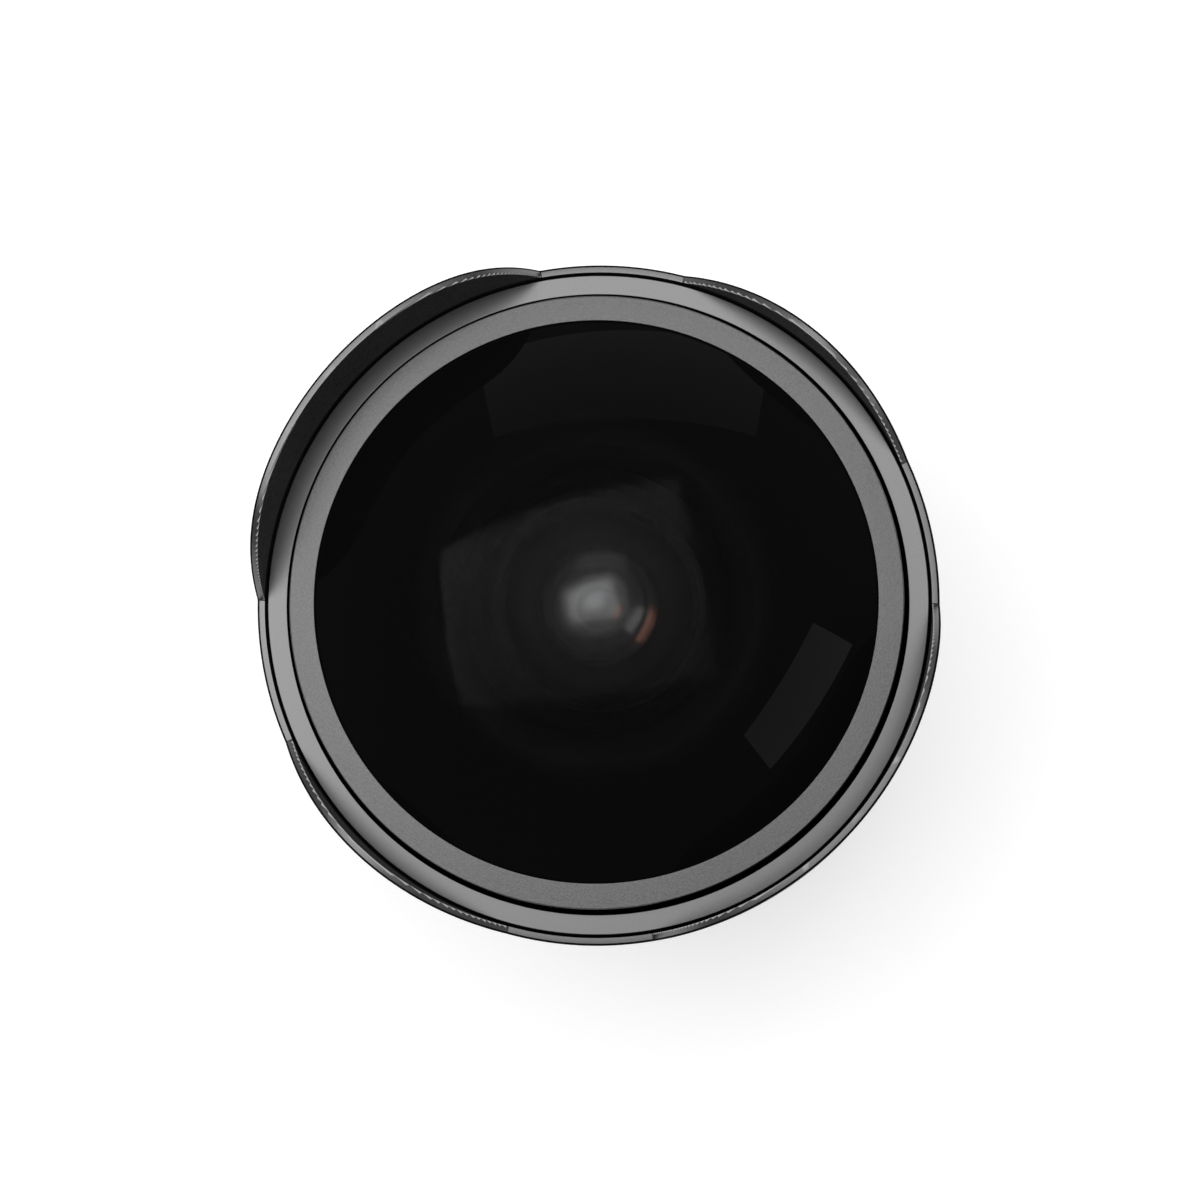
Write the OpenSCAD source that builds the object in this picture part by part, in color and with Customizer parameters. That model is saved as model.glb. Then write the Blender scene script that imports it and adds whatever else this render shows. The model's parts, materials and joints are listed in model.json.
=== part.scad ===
// Fisheye lens with a removable petal hood, a focus ring and an aperture ring.
// Origin at the centre of the camera flange face, +Z towards the front glass.

/* [Camera mount] */
// Radius of the flange that seats on the camera
flange_r = 32.5; // [31.8:0.1:33.5]
// Thickness of the flange
flange_t = 2; // [1.8:0.1:3]
// Inner radius of the raised contact face
contact_r = 29.7; // [29.4:0.1:30.2]
// Depth of the relief inside the contact face
relief_t = 0.3; // [0.2:0.05:0.5]
// Inner radius of the bayonet throat
throat_r = 22; // [21:0.1:22.4]
// Wall of the bayonet throat
throat_wall = 2.6; // [2:0.1:2.8]
// Reach of the throat behind the flange
throat_l = 5.5; // [5:0.1:7]
// How far a lug stands out from the throat
lug_reach = 1.9; // [1.2:0.1:2]
// Thickness of a lug
lug_t = 1.6; // [1.2:0.1:2]
// Sweep of a lug, in degrees
lug_sweep = 56; // [40:1:70]
// Width and height of the window in the rear baffle
baffle_window = [27, 19]; // [18:1:30]

/* [Rear housing and aperture ring] */
// Thickness of the plate behind the aperture ring
housing_t = 3.7; // [3.4:0.1:5]
// Gap between the inner tube and the journal of the aperture ring
journal_gap = 1.4; // [1:0.1:2]
// Wall of the journal
journal_wall = 4; // [3.8:0.1:4.5]
// Wall of the aperture ring
aperture_wall = 3.35; // [3:0.05:4]
// Length of the aperture ring
aperture_ring_l = 9.3; // [9:0.1:11]
// Length of the ribbed part of the aperture ring
aperture_rib_l = 4.8; // [3:0.1:5.5]
// Number of ribs on the aperture ring
aperture_ribs = 60; // [36:1:90]
// Turn of the aperture ring, in degrees
aperture_sweep = 48; // [40:1:49]
// Number of click stops
click_stops = 7; // [5:1:13]

/* [Focus] */
// How far the fixed scale ring stands out from the aperture ring
scale_step = 0.6; // [0:0.1:1.2]
// Length of the fixed scale ring
scale_ring_l = 6.4; // [5.5:0.1:8]
// How far the focus ring stands out from the scale ring
focus_step = 0.6; // [0:0.1:1.2]
// Length of the focus ring
focus_ring_l = 25.8; // [25:0.1:30]
// Wall of the focus ring
focus_wall = 2; // [1.6:0.1:2.6]
// Length of the smooth band that carries the distance scale
distance_band_l = 6.6; // [5:0.1:8]
// Length of the rubber grip
grip_l = 16.6; // [12:0.1:17]
// Thickness of the rubber grip
grip_t = 1.1; // [0.9:0.05:1.3]
// Number of ribs round the grip
grip_ribs = 64; // [40:1:90]
// Turn of the focus ring, in degrees
focus_sweep = 90; // [60:1:95]
// Travel of the optics over the whole focus range
focus_travel = 0.9; // [0.6:0.05:1.2]

/* [Tubes] */
// Outer radius of the sliding lens cell
cell_r = 24; // [23:0.05:26]
// Wall of the sliding lens cell
cell_wall = 2; // [1.8:0.05:2.1]
// Wall of the fixed inner tube
tube_wall = 2.55; // [2.3:0.05:2.7]
// Wall of the focus cam sleeve
cam_wall = 2.25; // [1.9:0.05:2.5]
// Radius of a guide roller
roller_r = 2; // [1.8:0.05:2.3]

/* [Front barrel and hood] */
// Length of the front barrel up to the notch rim of the hood
barrel_l = 13.6; // [13.2:0.1:16]
// How far the front barrel stands out from the focus ring
barrel_step = 1.3; // [0.6:0.1:2]
// How far the hood stands out from the front barrel
hood_step = 0.6; // [0.2:0.1:1.5]
// Wall of the hood
hood_wall = 0.86; // [0.7:0.02:1]
// Length of the hood from its rear edge to the notch rim
hood_l = 9; // [8:0.1:9.4]
// Height of a tall petal above the notch rim
tall_h = 11.5; // [9:0.1:13]
// Half the angle of a tall petal
tall_half = 40; // [34:0.5:42]
// Power that shapes the edge of a tall petal
tall_power = 5.2; // [3:0.1:7]
// Height of a narrow petal above the notch rim
narrow_h = 7.2; // [5:0.1:9]
// Half the angle of a narrow petal
narrow_half = 25.5; // [20:0.5:28]
// Power that shapes the edge of a narrow petal
narrow_power = 2.1; // [1.6:0.1:4]
// Turn of the hood between locked and released, in degrees
hood_turn = 30; // [20:1:40]
// Gap between the trim ring and the hood wall
trim_gap = 0.36; // [0.3:0.02:0.5]
// Width of the trim ring's face
trim_w = 2.18; // [1.6:0.02:3]

/* [Front glass] */
// Width of the face of the retainer round the front glass
retainer_w = 2.84; // [2.5:0.02:3.5]
// How far the front glass reaches under the retainer
glass_bearing = 0.62; // [0.4:0.02:0.8]
// Gap between the retainer and the trim ring
retainer_gap = 0.68; // [0.4:0.02:0.8]
// Height of the retainer's outer edge above the notch rim
retainer_rise = 2.36; // [2:0.02:3]
// Rise of the retainer's face from its outer to its inner edge
retainer_crown = 0.44; // [0.2:0.02:0.6]
// Radius of curvature of the front glass
dome_radius = 64; // [58:0.5:70]
// Radius of curvature of the hollow behind the front glass
hollow_radius = 17.5; // [17.2:0.1:19]
// Radius of the rim of that hollow
hollow_rim_r = 16.5; // [15.8:0.1:16.6]
// Thickness of the front glass at its centre
dome_t = 2.5; // [2:0.1:3]

/* [Iris] */
// Radius of the widest opening
iris_open_r = 6; // [5.6:0.1:6.2]
// Width of the rim round the blades
iris_rim_w = 2.4; // [1.8:0.1:3]
// Distance from a blade's pivot to its drive pin
drive_arm = 5; // [4.6:0.1:5.2]
// Turn of a blade, in degrees
blade_turn = 21.4; // [18:0.2:22]
// Radius of the pins on a blade
pin_r = 0.5; // [0.4:0.02:0.55]
// Thickness of a blade
blade_t = 0.15; // [0.1:0.01:0.18]

/* [Clearances] */
// Radial clearance of a turning or sliding fit
run_fit = 0.05; // [0.03:0.01:0.07]
// Radial clearance of pieces that are seated or screwed together
seat_fit = 0.03; // [0.02:0.01:0.05]
// Axial gap between rings that turn past each other
ring_gap = 0.3; // [0.2:0.05:0.4]

/* [Hidden] */
$fn = 96;
// Fineness of the polished glass faces
glass_fn = 288;

// Overlap that lets a cut break cleanly through a face
cut = 1;

// Colours of the finishes
satin_black = "#2a2a2c";
matt_black = "#1c1c1e";
rubber_black = "#18181a";
chrome_grey = "#c9c9c6";
steel_grey = "#8d8d8f";
brass_tone = "#b08d4a";
glass_tint = "#1a2226";
index_red = "#b3261e";

// Heights along the axis, from the camera flange to the front
throat_out = throat_r + throat_wall;
lug_r = throat_out + lug_reach;
z_plate = flange_t + housing_t;
z_aperture = z_plate + ring_gap;
z_journal = z_aperture + aperture_ring_l + ring_gap;
tube_flange_t = 2;
z_lip = z_journal + tube_flange_t;
z_focus = z_journal + scale_ring_l + ring_gap;
z_focus_top = z_focus + focus_ring_l;
z_barrel = z_focus_top + ring_gap;
z_rim = z_barrel + barrel_l;
z_hood = z_rim - hood_l;

// Radii, from the sliding cell outwards
cell_bore = cell_r - cell_wall;
tube_in = cell_r + run_fit;
tube_out = tube_in + tube_wall;
cam_in = tube_out + run_fit;
cam_out = cam_in + cam_wall;
journal_in = tube_out + journal_gap;
journal_r = journal_in + journal_wall;
aperture_ring_r = journal_r + run_fit + aperture_wall;
scale_ring_r = aperture_ring_r + scale_step;
focus_ring_r = scale_ring_r + focus_step;
barrel_r = focus_ring_r + barrel_step;
hood_r = barrel_r + hood_step;

// Radii, from the hood inwards to the front glass
hood_in = hood_r - hood_wall;
trim_out = hood_in - trim_gap;
trim_in = trim_out - trim_w;
retainer_r = trim_in - retainer_gap;
glass_clear_r = retainer_r - retainer_w;
glass_r = glass_clear_r + glass_bearing;

// Screws: radius and height of the head, radius of the shank
mount_screw = [1.35, 0.9, 0.8];
tube_screw = [1.4, 0.9, 0.8];
barrel_screw = [0.95, 0.7, 0.6];
ring_screw = [1.6, 0.7, 0.8];
roller_screw = [1.35, 0.6, 0.8];
thread_l = 2.4;
screw_count = 4;
ring_screw_count = 3;
mount_screw_angle = 45;
tube_screw_angle = 67.5;
barrel_screw_angle = 30;
ring_screw_angle = 40;
mount_screw_circle = (lug_r + contact_r) / 2;
tube_screw_circle = (journal_in + journal_r) / 2;

// Sliding tubes
barrel_screw_circle = (tube_in + tube_out) / 2;
z_cell = z_plate + 2 * ring_gap;
z_cam = z_lip + ring_gap;
z_cam_top = z_barrel - ring_gap;
roller_count = 3;
z_roller = (z_cam + z_cam_top) / 2;
roller_low = cell_r + 2 * run_fit;
roller_top = cam_out - 4 * run_fit;
roller_span = asin((roller_r + run_fit) / cam_in);
slot_margin = 0.6;

// Focus ring web that carries the cam sleeve
web_t = 3;
z_web = z_focus + distance_band_l + grip_l - 2 * web_t;
ring_screw_in = cam_out - cam_wall / 2;

// Aperture ring, its key and its click stop
key_w = 4;
key_t = 2.7;
key_reach = 2.6;
key_tip_r = cell_bore - key_reach;
key_seat_r = journal_r + run_fit + 1.4;
key_half = asin(key_w / 2 / key_tip_r) + 2;
ball_r = 1;
ball_seat_r = journal_r - ball_r;
ball_travel = 0.3;
click_pitch = aperture_sweep / (click_stops - 1);
z_click = z_aperture + aperture_ring_l / 2;
spring_floor_r = journal_in + 0.5;
spring_wire = 0.14;
spring_turns = 4;
spring_r = 0.7;

// Alignment bead on the rear shell
index_r = 1;
index_l = 2.3;
index_floor_r = flange_r - 0.6;
z_index = flange_t + housing_t / 2 - 0.4;

// Iris layers, from the drive ring forwards
blade_count = 7;
blade_pitch = 0.32;
drive_t = 1.6;
z_drive = z_aperture + 4.7;
z_key = z_drive + drive_t - key_t;
z_blades = z_drive + drive_t + 0.25;
z_iris_plate = z_blades + blade_count * blade_pitch + 0.1;
iris_plate_t = 1.2;
z_iris_top = z_iris_plate + iris_plate_t;
pivot_circle_r = cell_bore - iris_rim_w - drive_arm - 0.6;
blade_in = iris_open_r + 0.2;
blade_out = pivot_circle_r - 2.2;
blade_end = 140;
blade_tab_r = pin_r + 0.7;
iris_rim_in = cell_bore - iris_rim_w;
drive_in = pivot_circle_r - 1.6;
blade_step = 360 / blade_count;

// Front glass and its seat
z_glass_edge = z_rim + retainer_rise + retainer_crown - 0.3;
z_dome = z_glass_edge + sag(dome_radius, glass_clear_r);
z_glass_back = z_dome - dome_t - sag(hollow_radius, hollow_rim_r);
glass_gap = 0.05;
cup_wall = 1.2;
cup_in = glass_r + glass_gap;
cup_out = cup_in + cup_wall;
z_cup_top = z_glass_edge - 1.5;
barrel_flange_t = 2.2;
z_flare = z_barrel + barrel_flange_t + 2 * ring_gap;
trim_t = 2;
z_trim = z_rim - trim_t;
trim_drop = 0.34;
trim_crown = 0.09;
retainer_skirt_l = 4;
seal_t = 1.2;
seal_depth = 0.55;
z_seal = (z_glass_back + z_cup_top) / 2 - seal_t / 2;

// Hood bayonet
hood_seat_r = hood_in - run_fit;
hood_lug_r = trim_out + run_fit;
hood_lug_sweep = 18;
hood_lug_t = 1.2;
hood_lug_count = 3;
hood_lug_angle = 90;
z_hood_lug = z_hood + 2.4;
lug_play = 0.5;

// Inner lens elements, front to rear
z_second = z_dome - dome_t - 9.8;
second = [15.5, 26, 11, 9.5, 1.5];
z_second_back = z_second - second[4] - sag(second[2], second[3]);
shelf_t = 1.2;
third = [11.5, 40, 15, 1.4];
z_third_top = z_second_back - shelf_t;
z_third_back = z_third_top - sag(third[1], third[0]) - third[3] - sag(third[2], third[0]);
fourth = [11, 22, 8];
fourth_drop = 4.2;
fourth_sag = sag(fourth[1], fourth[0]);
z_fourth = z_third_back - fourth_drop + fourth_sag;
fourth_shelf_r = fourth[0] - 1.5;
z_fourth_shelf = z_fourth - fourth[2] + sag(fourth[1], fourth_shelf_r) - glass_gap;
z_spacer_joint = (z_third_top + z_third_back) / 2;
doublet = [8.5, 20, 5, 60, 1.2];
cement_gap = 0.03;
z_doublet = z_drive - 0.5;
z_doublet_mid = z_doublet - doublet[2];
z_doublet_back = z_doublet_mid - cement_gap - doublet[4];
doublet_shelf_r = doublet[0] - 1;
z_doublet_shelf = z_doublet_back + sag(doublet[3], doublet_shelf_r) - glass_gap;
rear = [9.5, 30, 40, 3.6];
rear_shelf_t = 3;
z_rear_edge = z_doublet_shelf - rear_shelf_t;
z_rear = z_rear_edge + sag(rear[1], doublet_shelf_r) - glass_gap;
z_rear_shelf = z_rear - rear[3] + sag(rear[2], rear[0]);
rear_cell_r = 14;
rear_retainer_t = 1.3;
z_rear_end = z_rear_shelf - rear_retainer_t;
z_cell_flange = z_cell + 0.2;
z_cell_neck = z_key - focus_travel - ring_gap;
cell_neck_r = key_tip_r - 0.6;

// Depth of a spherical cap of curvature radius c at radius r
function sag(c, r) = c - sqrt(c * c - r * r);

// A point at radius r and angle a
function polar(r, a) = [r * cos(a), r * sin(a)];

// Corners of a sector that reaches past radius r
function sector(r, from, to, steps = 12) =
    concat([[0, 0]], [for (i = [0:steps]) polar(1.1 * r, from + (to - from) * i / steps)]);

// Outline with n ribs, each taking half of its pitch
function ribs(r_low, r_high, n) = [
    for (i = [0:n - 1])
        for (k = [[r_low, 0.02], [r_high, 0.12], [r_high, 0.58], [r_low, 0.68]])
            polar(k[0], (i + k[1]) * 360 / n)
];

// Steps from -1 to 1 that crowd towards both ends
function edge_steps(n) = [
    for (i = [-n:n]) let (s = i / n) sign(s) * (1 - pow(1 - abs(s), 2))
];

// Upper outline of a petal, from one notch to the next
function petal(half, h, power) = concat(
    [[hood_r * sin(half), z_hood + cut], [-hood_r * sin(half), z_hood + cut]],
    [for (u = edge_steps(16)) [hood_r * sin(half * u), z_rim + h * (1 - pow(abs(u), power))]]
);

// Place of a blade's drive pin in the turning drive ring, for a share s of the travel
function pin_path(s) =
    let (a = blade_turn * s, turn = aperture_sweep * s)
    let (x = pivot_circle_r + drive_arm * sin(a), y = -drive_arm * cos(a))
    [x * cos(turn) + y * sin(turn), y * cos(turn) - x * sin(turn)];

// A tube between two heights
module tube(r_out, r_in, z_low, z_high) {
    translate([0, 0, z_low])
        difference() {
            cylinder(r = r_out, h = z_high - z_low);
            translate([0, 0, -cut])
                cylinder(r = r_in, h = z_high - z_low + 2 * cut);
        }
}

// A sector of a tube
module arc_block(r_out, r_in, from, to, z_low, z_high) {
    intersection() {
        tube(r_out, r_in, z_low, z_high);
        translate([0, 0, z_low - cut])
            linear_extrude(z_high - z_low + 2 * cut)
                polygon(sector(r_out, from, to));
    }
}

// Copies of the children round the axis
module around(count, start = 0) {
    for (i = [0:count - 1])
        rotate([0, 0, start + i * 360 / count])
            children();
}

// Turns the children's +Z to point outwards along +X
module outwards() {
    rotate([0, 90, 0])
        children();
}

// A slotted screw with its head's top at z = 0 and its shank below
module screw(size, length) {
    difference() {
        union() {
            translate([0, 0, -size[1]])
                cylinder(r = size[0], h = size[1]);
            translate([0, 0, -length])
                cylinder(r = size[2], h = length);
        }
        translate([-size[0] - cut, -size[0] / 6, -size[1] / 2])
            cube([2 * (size[0] + cut), size[0] / 3, size[1]]);
    }
}

// The hole that such a screw fits
module screw_hole(size, length) {
    translate([0, 0, -size[1]])
        cylinder(r = size[0] + seat_fit, h = size[1] + cut);
    translate([0, 0, -length - seat_fit])
        cylinder(r = size[2] + seat_fit, h = length);
}

// A glass disc with its front pole at z_front: negative radii are hollow faces
module lens(r, front, back, thick, z_front) {
    z_back = z_front - thick;
    top = front > 0 ? z_front : z_front + sag(-front, r);
    bottom = back > 0 ? z_back : z_back - sag(-back, r);
    difference() {
        intersection() {
            translate([0, 0, bottom])
                cylinder(r = r, h = top - bottom, $fn = glass_fn);
            if (front > 0)
                translate([0, 0, z_front - front])
                    sphere(front, $fn = glass_fn);
            if (back > 0)
                translate([0, 0, z_back + back])
                    sphere(back, $fn = glass_fn);
        }
        if (front < 0)
            translate([0, 0, z_front - front])
                sphere(-front, $fn = glass_fn);
        if (back < 0)
            translate([0, 0, z_back + back])
                sphere(-back, $fn = glass_fn);
    }
}

// The mount plate: flange, throat and three lugs
module bayonet_mount() {
    color(chrome_grey)
        difference() {
            union() {
                tube(flange_r, throat_r, 0, flange_t);
                tube(throat_out, throat_r, -throat_l, flange_t);
                around(3)
                    arc_block(lug_r, throat_r, -lug_sweep / 2, lug_sweep / 2,
                        -throat_l, lug_t - throat_l);
            }
            tube(contact_r, throat_out, -cut, relief_t);
            around(screw_count, mount_screw_angle)
                translate([mount_screw_circle, 0, relief_t])
                    mirror([0, 0, 1])
                        screw_hole(mount_screw, flange_t + cut);
        }
}

module mount_screws() {
    color(steel_grey)
        around(screw_count, mount_screw_angle)
            translate([mount_screw_circle, 0, relief_t])
                mirror([0, 0, 1])
                    screw(mount_screw, flange_t - relief_t + thread_l);
}

// The black plate that frames the beam behind the rear glass
module rear_baffle() {
    baffle_t = 1.2;
    color(matt_black)
        translate([0, 0, 0.8 - throat_l])
            difference() {
                cylinder(r = throat_r - seat_fit, h = baffle_t);
                translate([-baffle_window[0] / 2, -baffle_window[1] / 2, -cut])
                    cube([baffle_window[0], baffle_window[1], baffle_t + 2 * cut]);
            }
}

// The fixed rear shell and the journal of the aperture ring
module rear_housing() {
    shell_r = aperture_ring_r - ring_gap;
    bore = throat_r + 1;
    color(satin_black)
        difference() {
            rotate_extrude()
                polygon([
                    [bore, flange_t], [flange_r, flange_t], [shell_r, z_plate - 0.8], [shell_r, z_plate],
                    [journal_r, z_plate], [journal_r, z_journal], [journal_in, z_journal],
                    [journal_in, z_plate], [bore, z_plate]
                ]);
            arc_block(journal_r + cut, journal_in - cut, -key_half, aperture_sweep + key_half,
                z_key - ring_gap, z_key + key_t + ring_gap);
            around(screw_count, mount_screw_angle)
                translate([mount_screw_circle, 0, flange_t - cut])
                    cylinder(r = mount_screw[2] + seat_fit, h = thread_l + cut + seat_fit);
            around(screw_count, tube_screw_angle)
                translate([tube_screw_circle, 0, z_journal - thread_l - seat_fit])
                    cylinder(r = tube_screw[2] + seat_fit, h = thread_l + cut);
            translate([-spring_floor_r, 0, z_click])
                mirror([1, 0, 0])
                    outwards()
                        cylinder(r = ball_r + run_fit, h = journal_wall + cut);
            translate([0, index_floor_r, z_index])
                rotate([-90, 0, 0])
                    cylinder(r = index_r + seat_fit, h = 4 * cut);
        }
}

// The alignment bead on the rear shell
module mount_index() {
    color(index_red)
        translate([0, index_floor_r, z_index])
            rotate([-90, 0, 0])
                cylinder(r = index_r, h = index_l);
}

// Points of a coil of round wire along +Z
function coil(r, wire, length, turns, rings = 12, sides = 6) = [
    for (i = [0:turns * rings])
        for (j = [0:sides - 1])
            let (a = 360 * i / rings, b = -360 * j / sides)
                [
                    (r + wire * cos(b)) * cos(a),
                    (r + wire * cos(b)) * sin(a),
                    wire + (length - 2 * wire) * i / (turns * rings) + wire * sin(b)
                ]
];

// Triangles of a swept tube of n rings
function swept_faces(n, sides) = concat(
    [for (j = [1:sides - 2]) [0, j, j + 1]],
    [for (i = [0:n - 2]) for (j = [0:sides - 1])
        [i * sides + j, (i + 1) * sides + j, i * sides + (j + 1) % sides]],
    [for (i = [0:n - 2]) for (j = [0:sides - 1])
        [i * sides + (j + 1) % sides, (i + 1) * sides + j, (i + 1) * sides + (j + 1) % sides]],
    [for (j = [1:sides - 2]) [(n - 1) * sides, (n - 1) * sides + j + 1, (n - 1) * sides + j]]
);

// The spring behind the click ball
module click_spring() {
    length = ball_seat_r - ball_r - spring_floor_r + 0.15;
    color(steel_grey)
        translate([-spring_floor_r - 0.05, 0, z_click])
            mirror([1, 0, 0])
                outwards()
                    polyhedron(coil(spring_r, spring_wire, length, spring_turns),
                        swept_faces(spring_turns * 12 + 1, 6));
}

module click_ball() {
    color(steel_grey)
        translate([-ball_seat_r, 0, z_click])
            sphere(ball_r);
}

// The fixed tube with straight slots that keep the cell from turning
module inner_tube() {
    slot_half = roller_r + run_fit;
    slot_end = focus_travel + slot_margin;
    color(steel_grey)
        difference() {
            union() {
                tube(tube_out, tube_in, z_plate, z_barrel);
                tube(journal_r, tube_in, z_journal, z_lip);
            }
            around(roller_count) {
                for (z = [z_roller - slot_margin, z_roller + slot_end])
                    translate([tube_in - cut, 0, z])
                        outwards()
                            cylinder(r = slot_half, h = tube_wall + 2 * cut);
                translate([tube_in - cut, -slot_half, z_roller - slot_margin])
                    cube([tube_wall + 2 * cut, 2 * slot_half, slot_end + slot_margin]);
            }
            arc_block(tube_out + cut, tube_in - cut, -key_half, aperture_sweep + key_half,
                z_key - ring_gap, z_key + key_t + ring_gap);
            around(screw_count, tube_screw_angle)
                translate([tube_screw_circle, 0, z_lip])
                    screw_hole(tube_screw, tube_flange_t + cut);
            around(screw_count, barrel_screw_angle)
                translate([barrel_screw_circle, 0, z_barrel - thread_l - seat_fit])
                    cylinder(r = barrel_screw[2] + seat_fit, h = thread_l + cut);
        }
}

module tube_screws() {
    color(steel_grey)
        around(screw_count, tube_screw_angle)
            translate([tube_screw_circle, 0, z_lip])
                screw(tube_screw, tube_flange_t + thread_l);
}

// The fixed ring with the index line and the depth of field marks
module scale_ring() {
    lip_in = cam_out + 2 * ring_gap;
    seat_r = journal_r + seat_fit;
    color(satin_black)
        rotate_extrude()
            polygon([
                [seat_r, z_journal], [scale_ring_r - ring_gap, z_journal],
                [scale_ring_r, z_journal + ring_gap],
                [scale_ring_r, z_focus - 2 * ring_gap], [scale_ring_r - ring_gap, z_focus - ring_gap],
                [seat_r, z_focus - ring_gap], [seat_r, z_lip + 1.8],
                [lip_in, z_lip + 1.8], [lip_in, z_lip], [seat_r, z_lip]
            ]);
}

// The fixed front shell, screwed to the inner tube, with the hood's grooves
module front_barrel() {
    inner = cell_r + ring_gap;
    wall_in = trim_in;
    z_shoulder = z_hood - ring_gap;
    color(satin_black)
        difference() {
            rotate_extrude()
                polygon([
                    [inner, z_barrel], [barrel_r - ring_gap, z_barrel], [barrel_r, z_barrel + ring_gap],
                    [barrel_r, z_shoulder - ring_gap], [barrel_r - ring_gap, z_shoulder],
                    [hood_seat_r, z_shoulder], [hood_seat_r, z_trim], [wall_in, z_trim],
                    [wall_in, z_barrel + barrel_flange_t], [inner, z_barrel + barrel_flange_t]
                ]);
            around(hood_lug_count, hood_lug_angle) {
                arc_block(hood_seat_r + cut, hood_lug_r - run_fit, -hood_lug_sweep / 2 - lug_play,
                    hood_lug_sweep / 2 + hood_turn + lug_play,
                    z_hood_lug - ring_gap, z_hood_lug + hood_lug_t + ring_gap);
                arc_block(hood_seat_r + cut, hood_lug_r - run_fit, hood_turn - hood_lug_sweep / 2 - lug_play,
                    hood_turn + hood_lug_sweep / 2 + lug_play, z_hood_lug, z_trim + cut);
            }
            around(screw_count, barrel_screw_angle)
                translate([barrel_screw_circle, 0, z_barrel + barrel_flange_t])
                    screw_hole(barrel_screw, barrel_flange_t + cut);
        }
}

module barrel_screws() {
    color(steel_grey)
        around(screw_count, barrel_screw_angle)
            translate([barrel_screw_circle, 0, z_barrel + barrel_flange_t])
                screw(barrel_screw, barrel_flange_t + thread_l);
}

// The smooth ring that closes the front barrel
module trim_ring() {
    color(satin_black)
        rotate_extrude()
            polygon([
                [trim_in, z_trim], [trim_out, z_trim], [trim_out, z_rim - trim_drop],
                [trim_in, z_rim + trim_crown]
            ]);
}

// The ring that sets the iris, with ribs, a seat for its key and click dimples
module aperture_ring() {
    bore = journal_r + run_fit;
    z_top = z_aperture + aperture_ring_l;
    z_rib = z_aperture + aperture_rib_l;
    rib_low = aperture_ring_r - 0.7;
    color(satin_black)
        difference() {
            union() {
                tube(aperture_ring_r, bore, z_rib, z_top);
                tube(rib_low, bore, z_aperture, z_top);
                translate([0, 0, z_aperture + ring_gap])
                    linear_extrude(aperture_rib_l - 2 * ring_gap)
                        difference() {
                            polygon(ribs(rib_low - 0.2, aperture_ring_r, aperture_ribs));
                            circle(bore);
                        }
            }
            translate([key_tip_r, -key_w / 2 - seat_fit, z_key - seat_fit])
                cube([key_seat_r + seat_fit - key_tip_r, key_w + 2 * seat_fit, key_t + 2 * seat_fit]);
            for (i = [0:click_stops - 1])
                rotate([0, 0, 180 - i * click_pitch])
                    translate([ball_seat_r + ball_travel, 0, z_click])
                        sphere(ball_r + run_fit);
        }
}

// The bar that reaches in from the aperture ring to the iris
module aperture_key() {
    color(steel_grey)
        translate([key_tip_r, -key_w / 2, z_key])
            cube([key_seat_r - key_tip_r, key_w, key_t]);
}

// The sleeve with three rising slots that drive the rollers
module focus_cam() {
    steps = 24;
    from = -focus_sweep - roller_span - slot_margin;
    to = roller_span + slot_margin;
    half = roller_r + 2 * run_fit;
    corners = [[cam_in - cut, -half], [cam_in - cut, half], [cam_out + cut, half], [cam_out + cut, -half]];
    path = [
        for (i = [0:steps])
            let (a = from + (to - from) * i / steps, z = z_roller - focus_travel * a / focus_sweep)
                for (c = corners)
                    [c[0] * cos(a), c[0] * sin(a), z + c[1]]
    ];
    color(brass_tone)
        difference() {
            tube(cam_out, cam_in, z_cam, z_cam_top);
            around(roller_count)
                polyhedron(path, swept_faces(steps + 1, 4));
            around(ring_screw_count, ring_screw_angle)
                translate([ring_screw_in - seat_fit, 0, z_web + web_t / 2])
                    outwards()
                        cylinder(r = ring_screw[2] + seat_fit, h = cam_wall);
        }
}

// The ring that the hand turns, with an inner web that holds the cam sleeve
module focus_ring() {
    inner = focus_ring_r - focus_wall;
    web_in = cam_out + seat_fit;
    color(satin_black)
        difference() {
            rotate_extrude()
                polygon([
                    [inner, z_focus], [focus_ring_r - ring_gap, z_focus],
                    [focus_ring_r, z_focus + ring_gap],
                    [focus_ring_r, z_focus_top - ring_gap], [focus_ring_r - ring_gap, z_focus_top],
                    [inner, z_focus_top], [inner, z_web + web_t], [web_in, z_web + web_t],
                    [web_in, z_web], [inner, z_web]
                ]);
            around(ring_screw_count, ring_screw_angle)
                translate([focus_ring_r, 0, z_web + web_t / 2])
                    outwards()
                        screw_hole(ring_screw, focus_ring_r - ring_screw_in);
        }
}

module focus_screws() {
    color(steel_grey)
        around(ring_screw_count, ring_screw_angle)
            translate([focus_ring_r - ring_gap, 0, z_web + web_t / 2])
                outwards()
                    screw([ring_screw[0], ring_screw[1] - ring_gap, ring_screw[2]],
                        focus_ring_r - ring_gap - ring_screw_in);
}

// The ribbed rubber sleeve stretched over the focus ring
module focus_grip() {
    edge = 1.2;
    low = focus_ring_r + grip_t / 3;
    band_r = focus_ring_r + 0.7 * grip_t;
    rib_gap = ring_gap;
    color(rubber_black)
        translate([0, 0, z_focus + distance_band_l])
            difference() {
                union() {
                    cylinder(r = low, h = grip_l);
                    for (z = [0, grip_l - edge])
                        translate([0, 0, z])
                            cylinder(r = band_r, h = edge);
                    translate([0, 0, edge + rib_gap])
                        linear_extrude(grip_l - 2 * edge - 2 * rib_gap)
                            polygon(ribs(low - rib_gap / 2, focus_ring_r + grip_t, grip_ribs));
                }
                translate([0, 0, -cut])
                    cylinder(r = focus_ring_r + seat_fit, h = grip_l + 2 * cut);
            }
}

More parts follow.
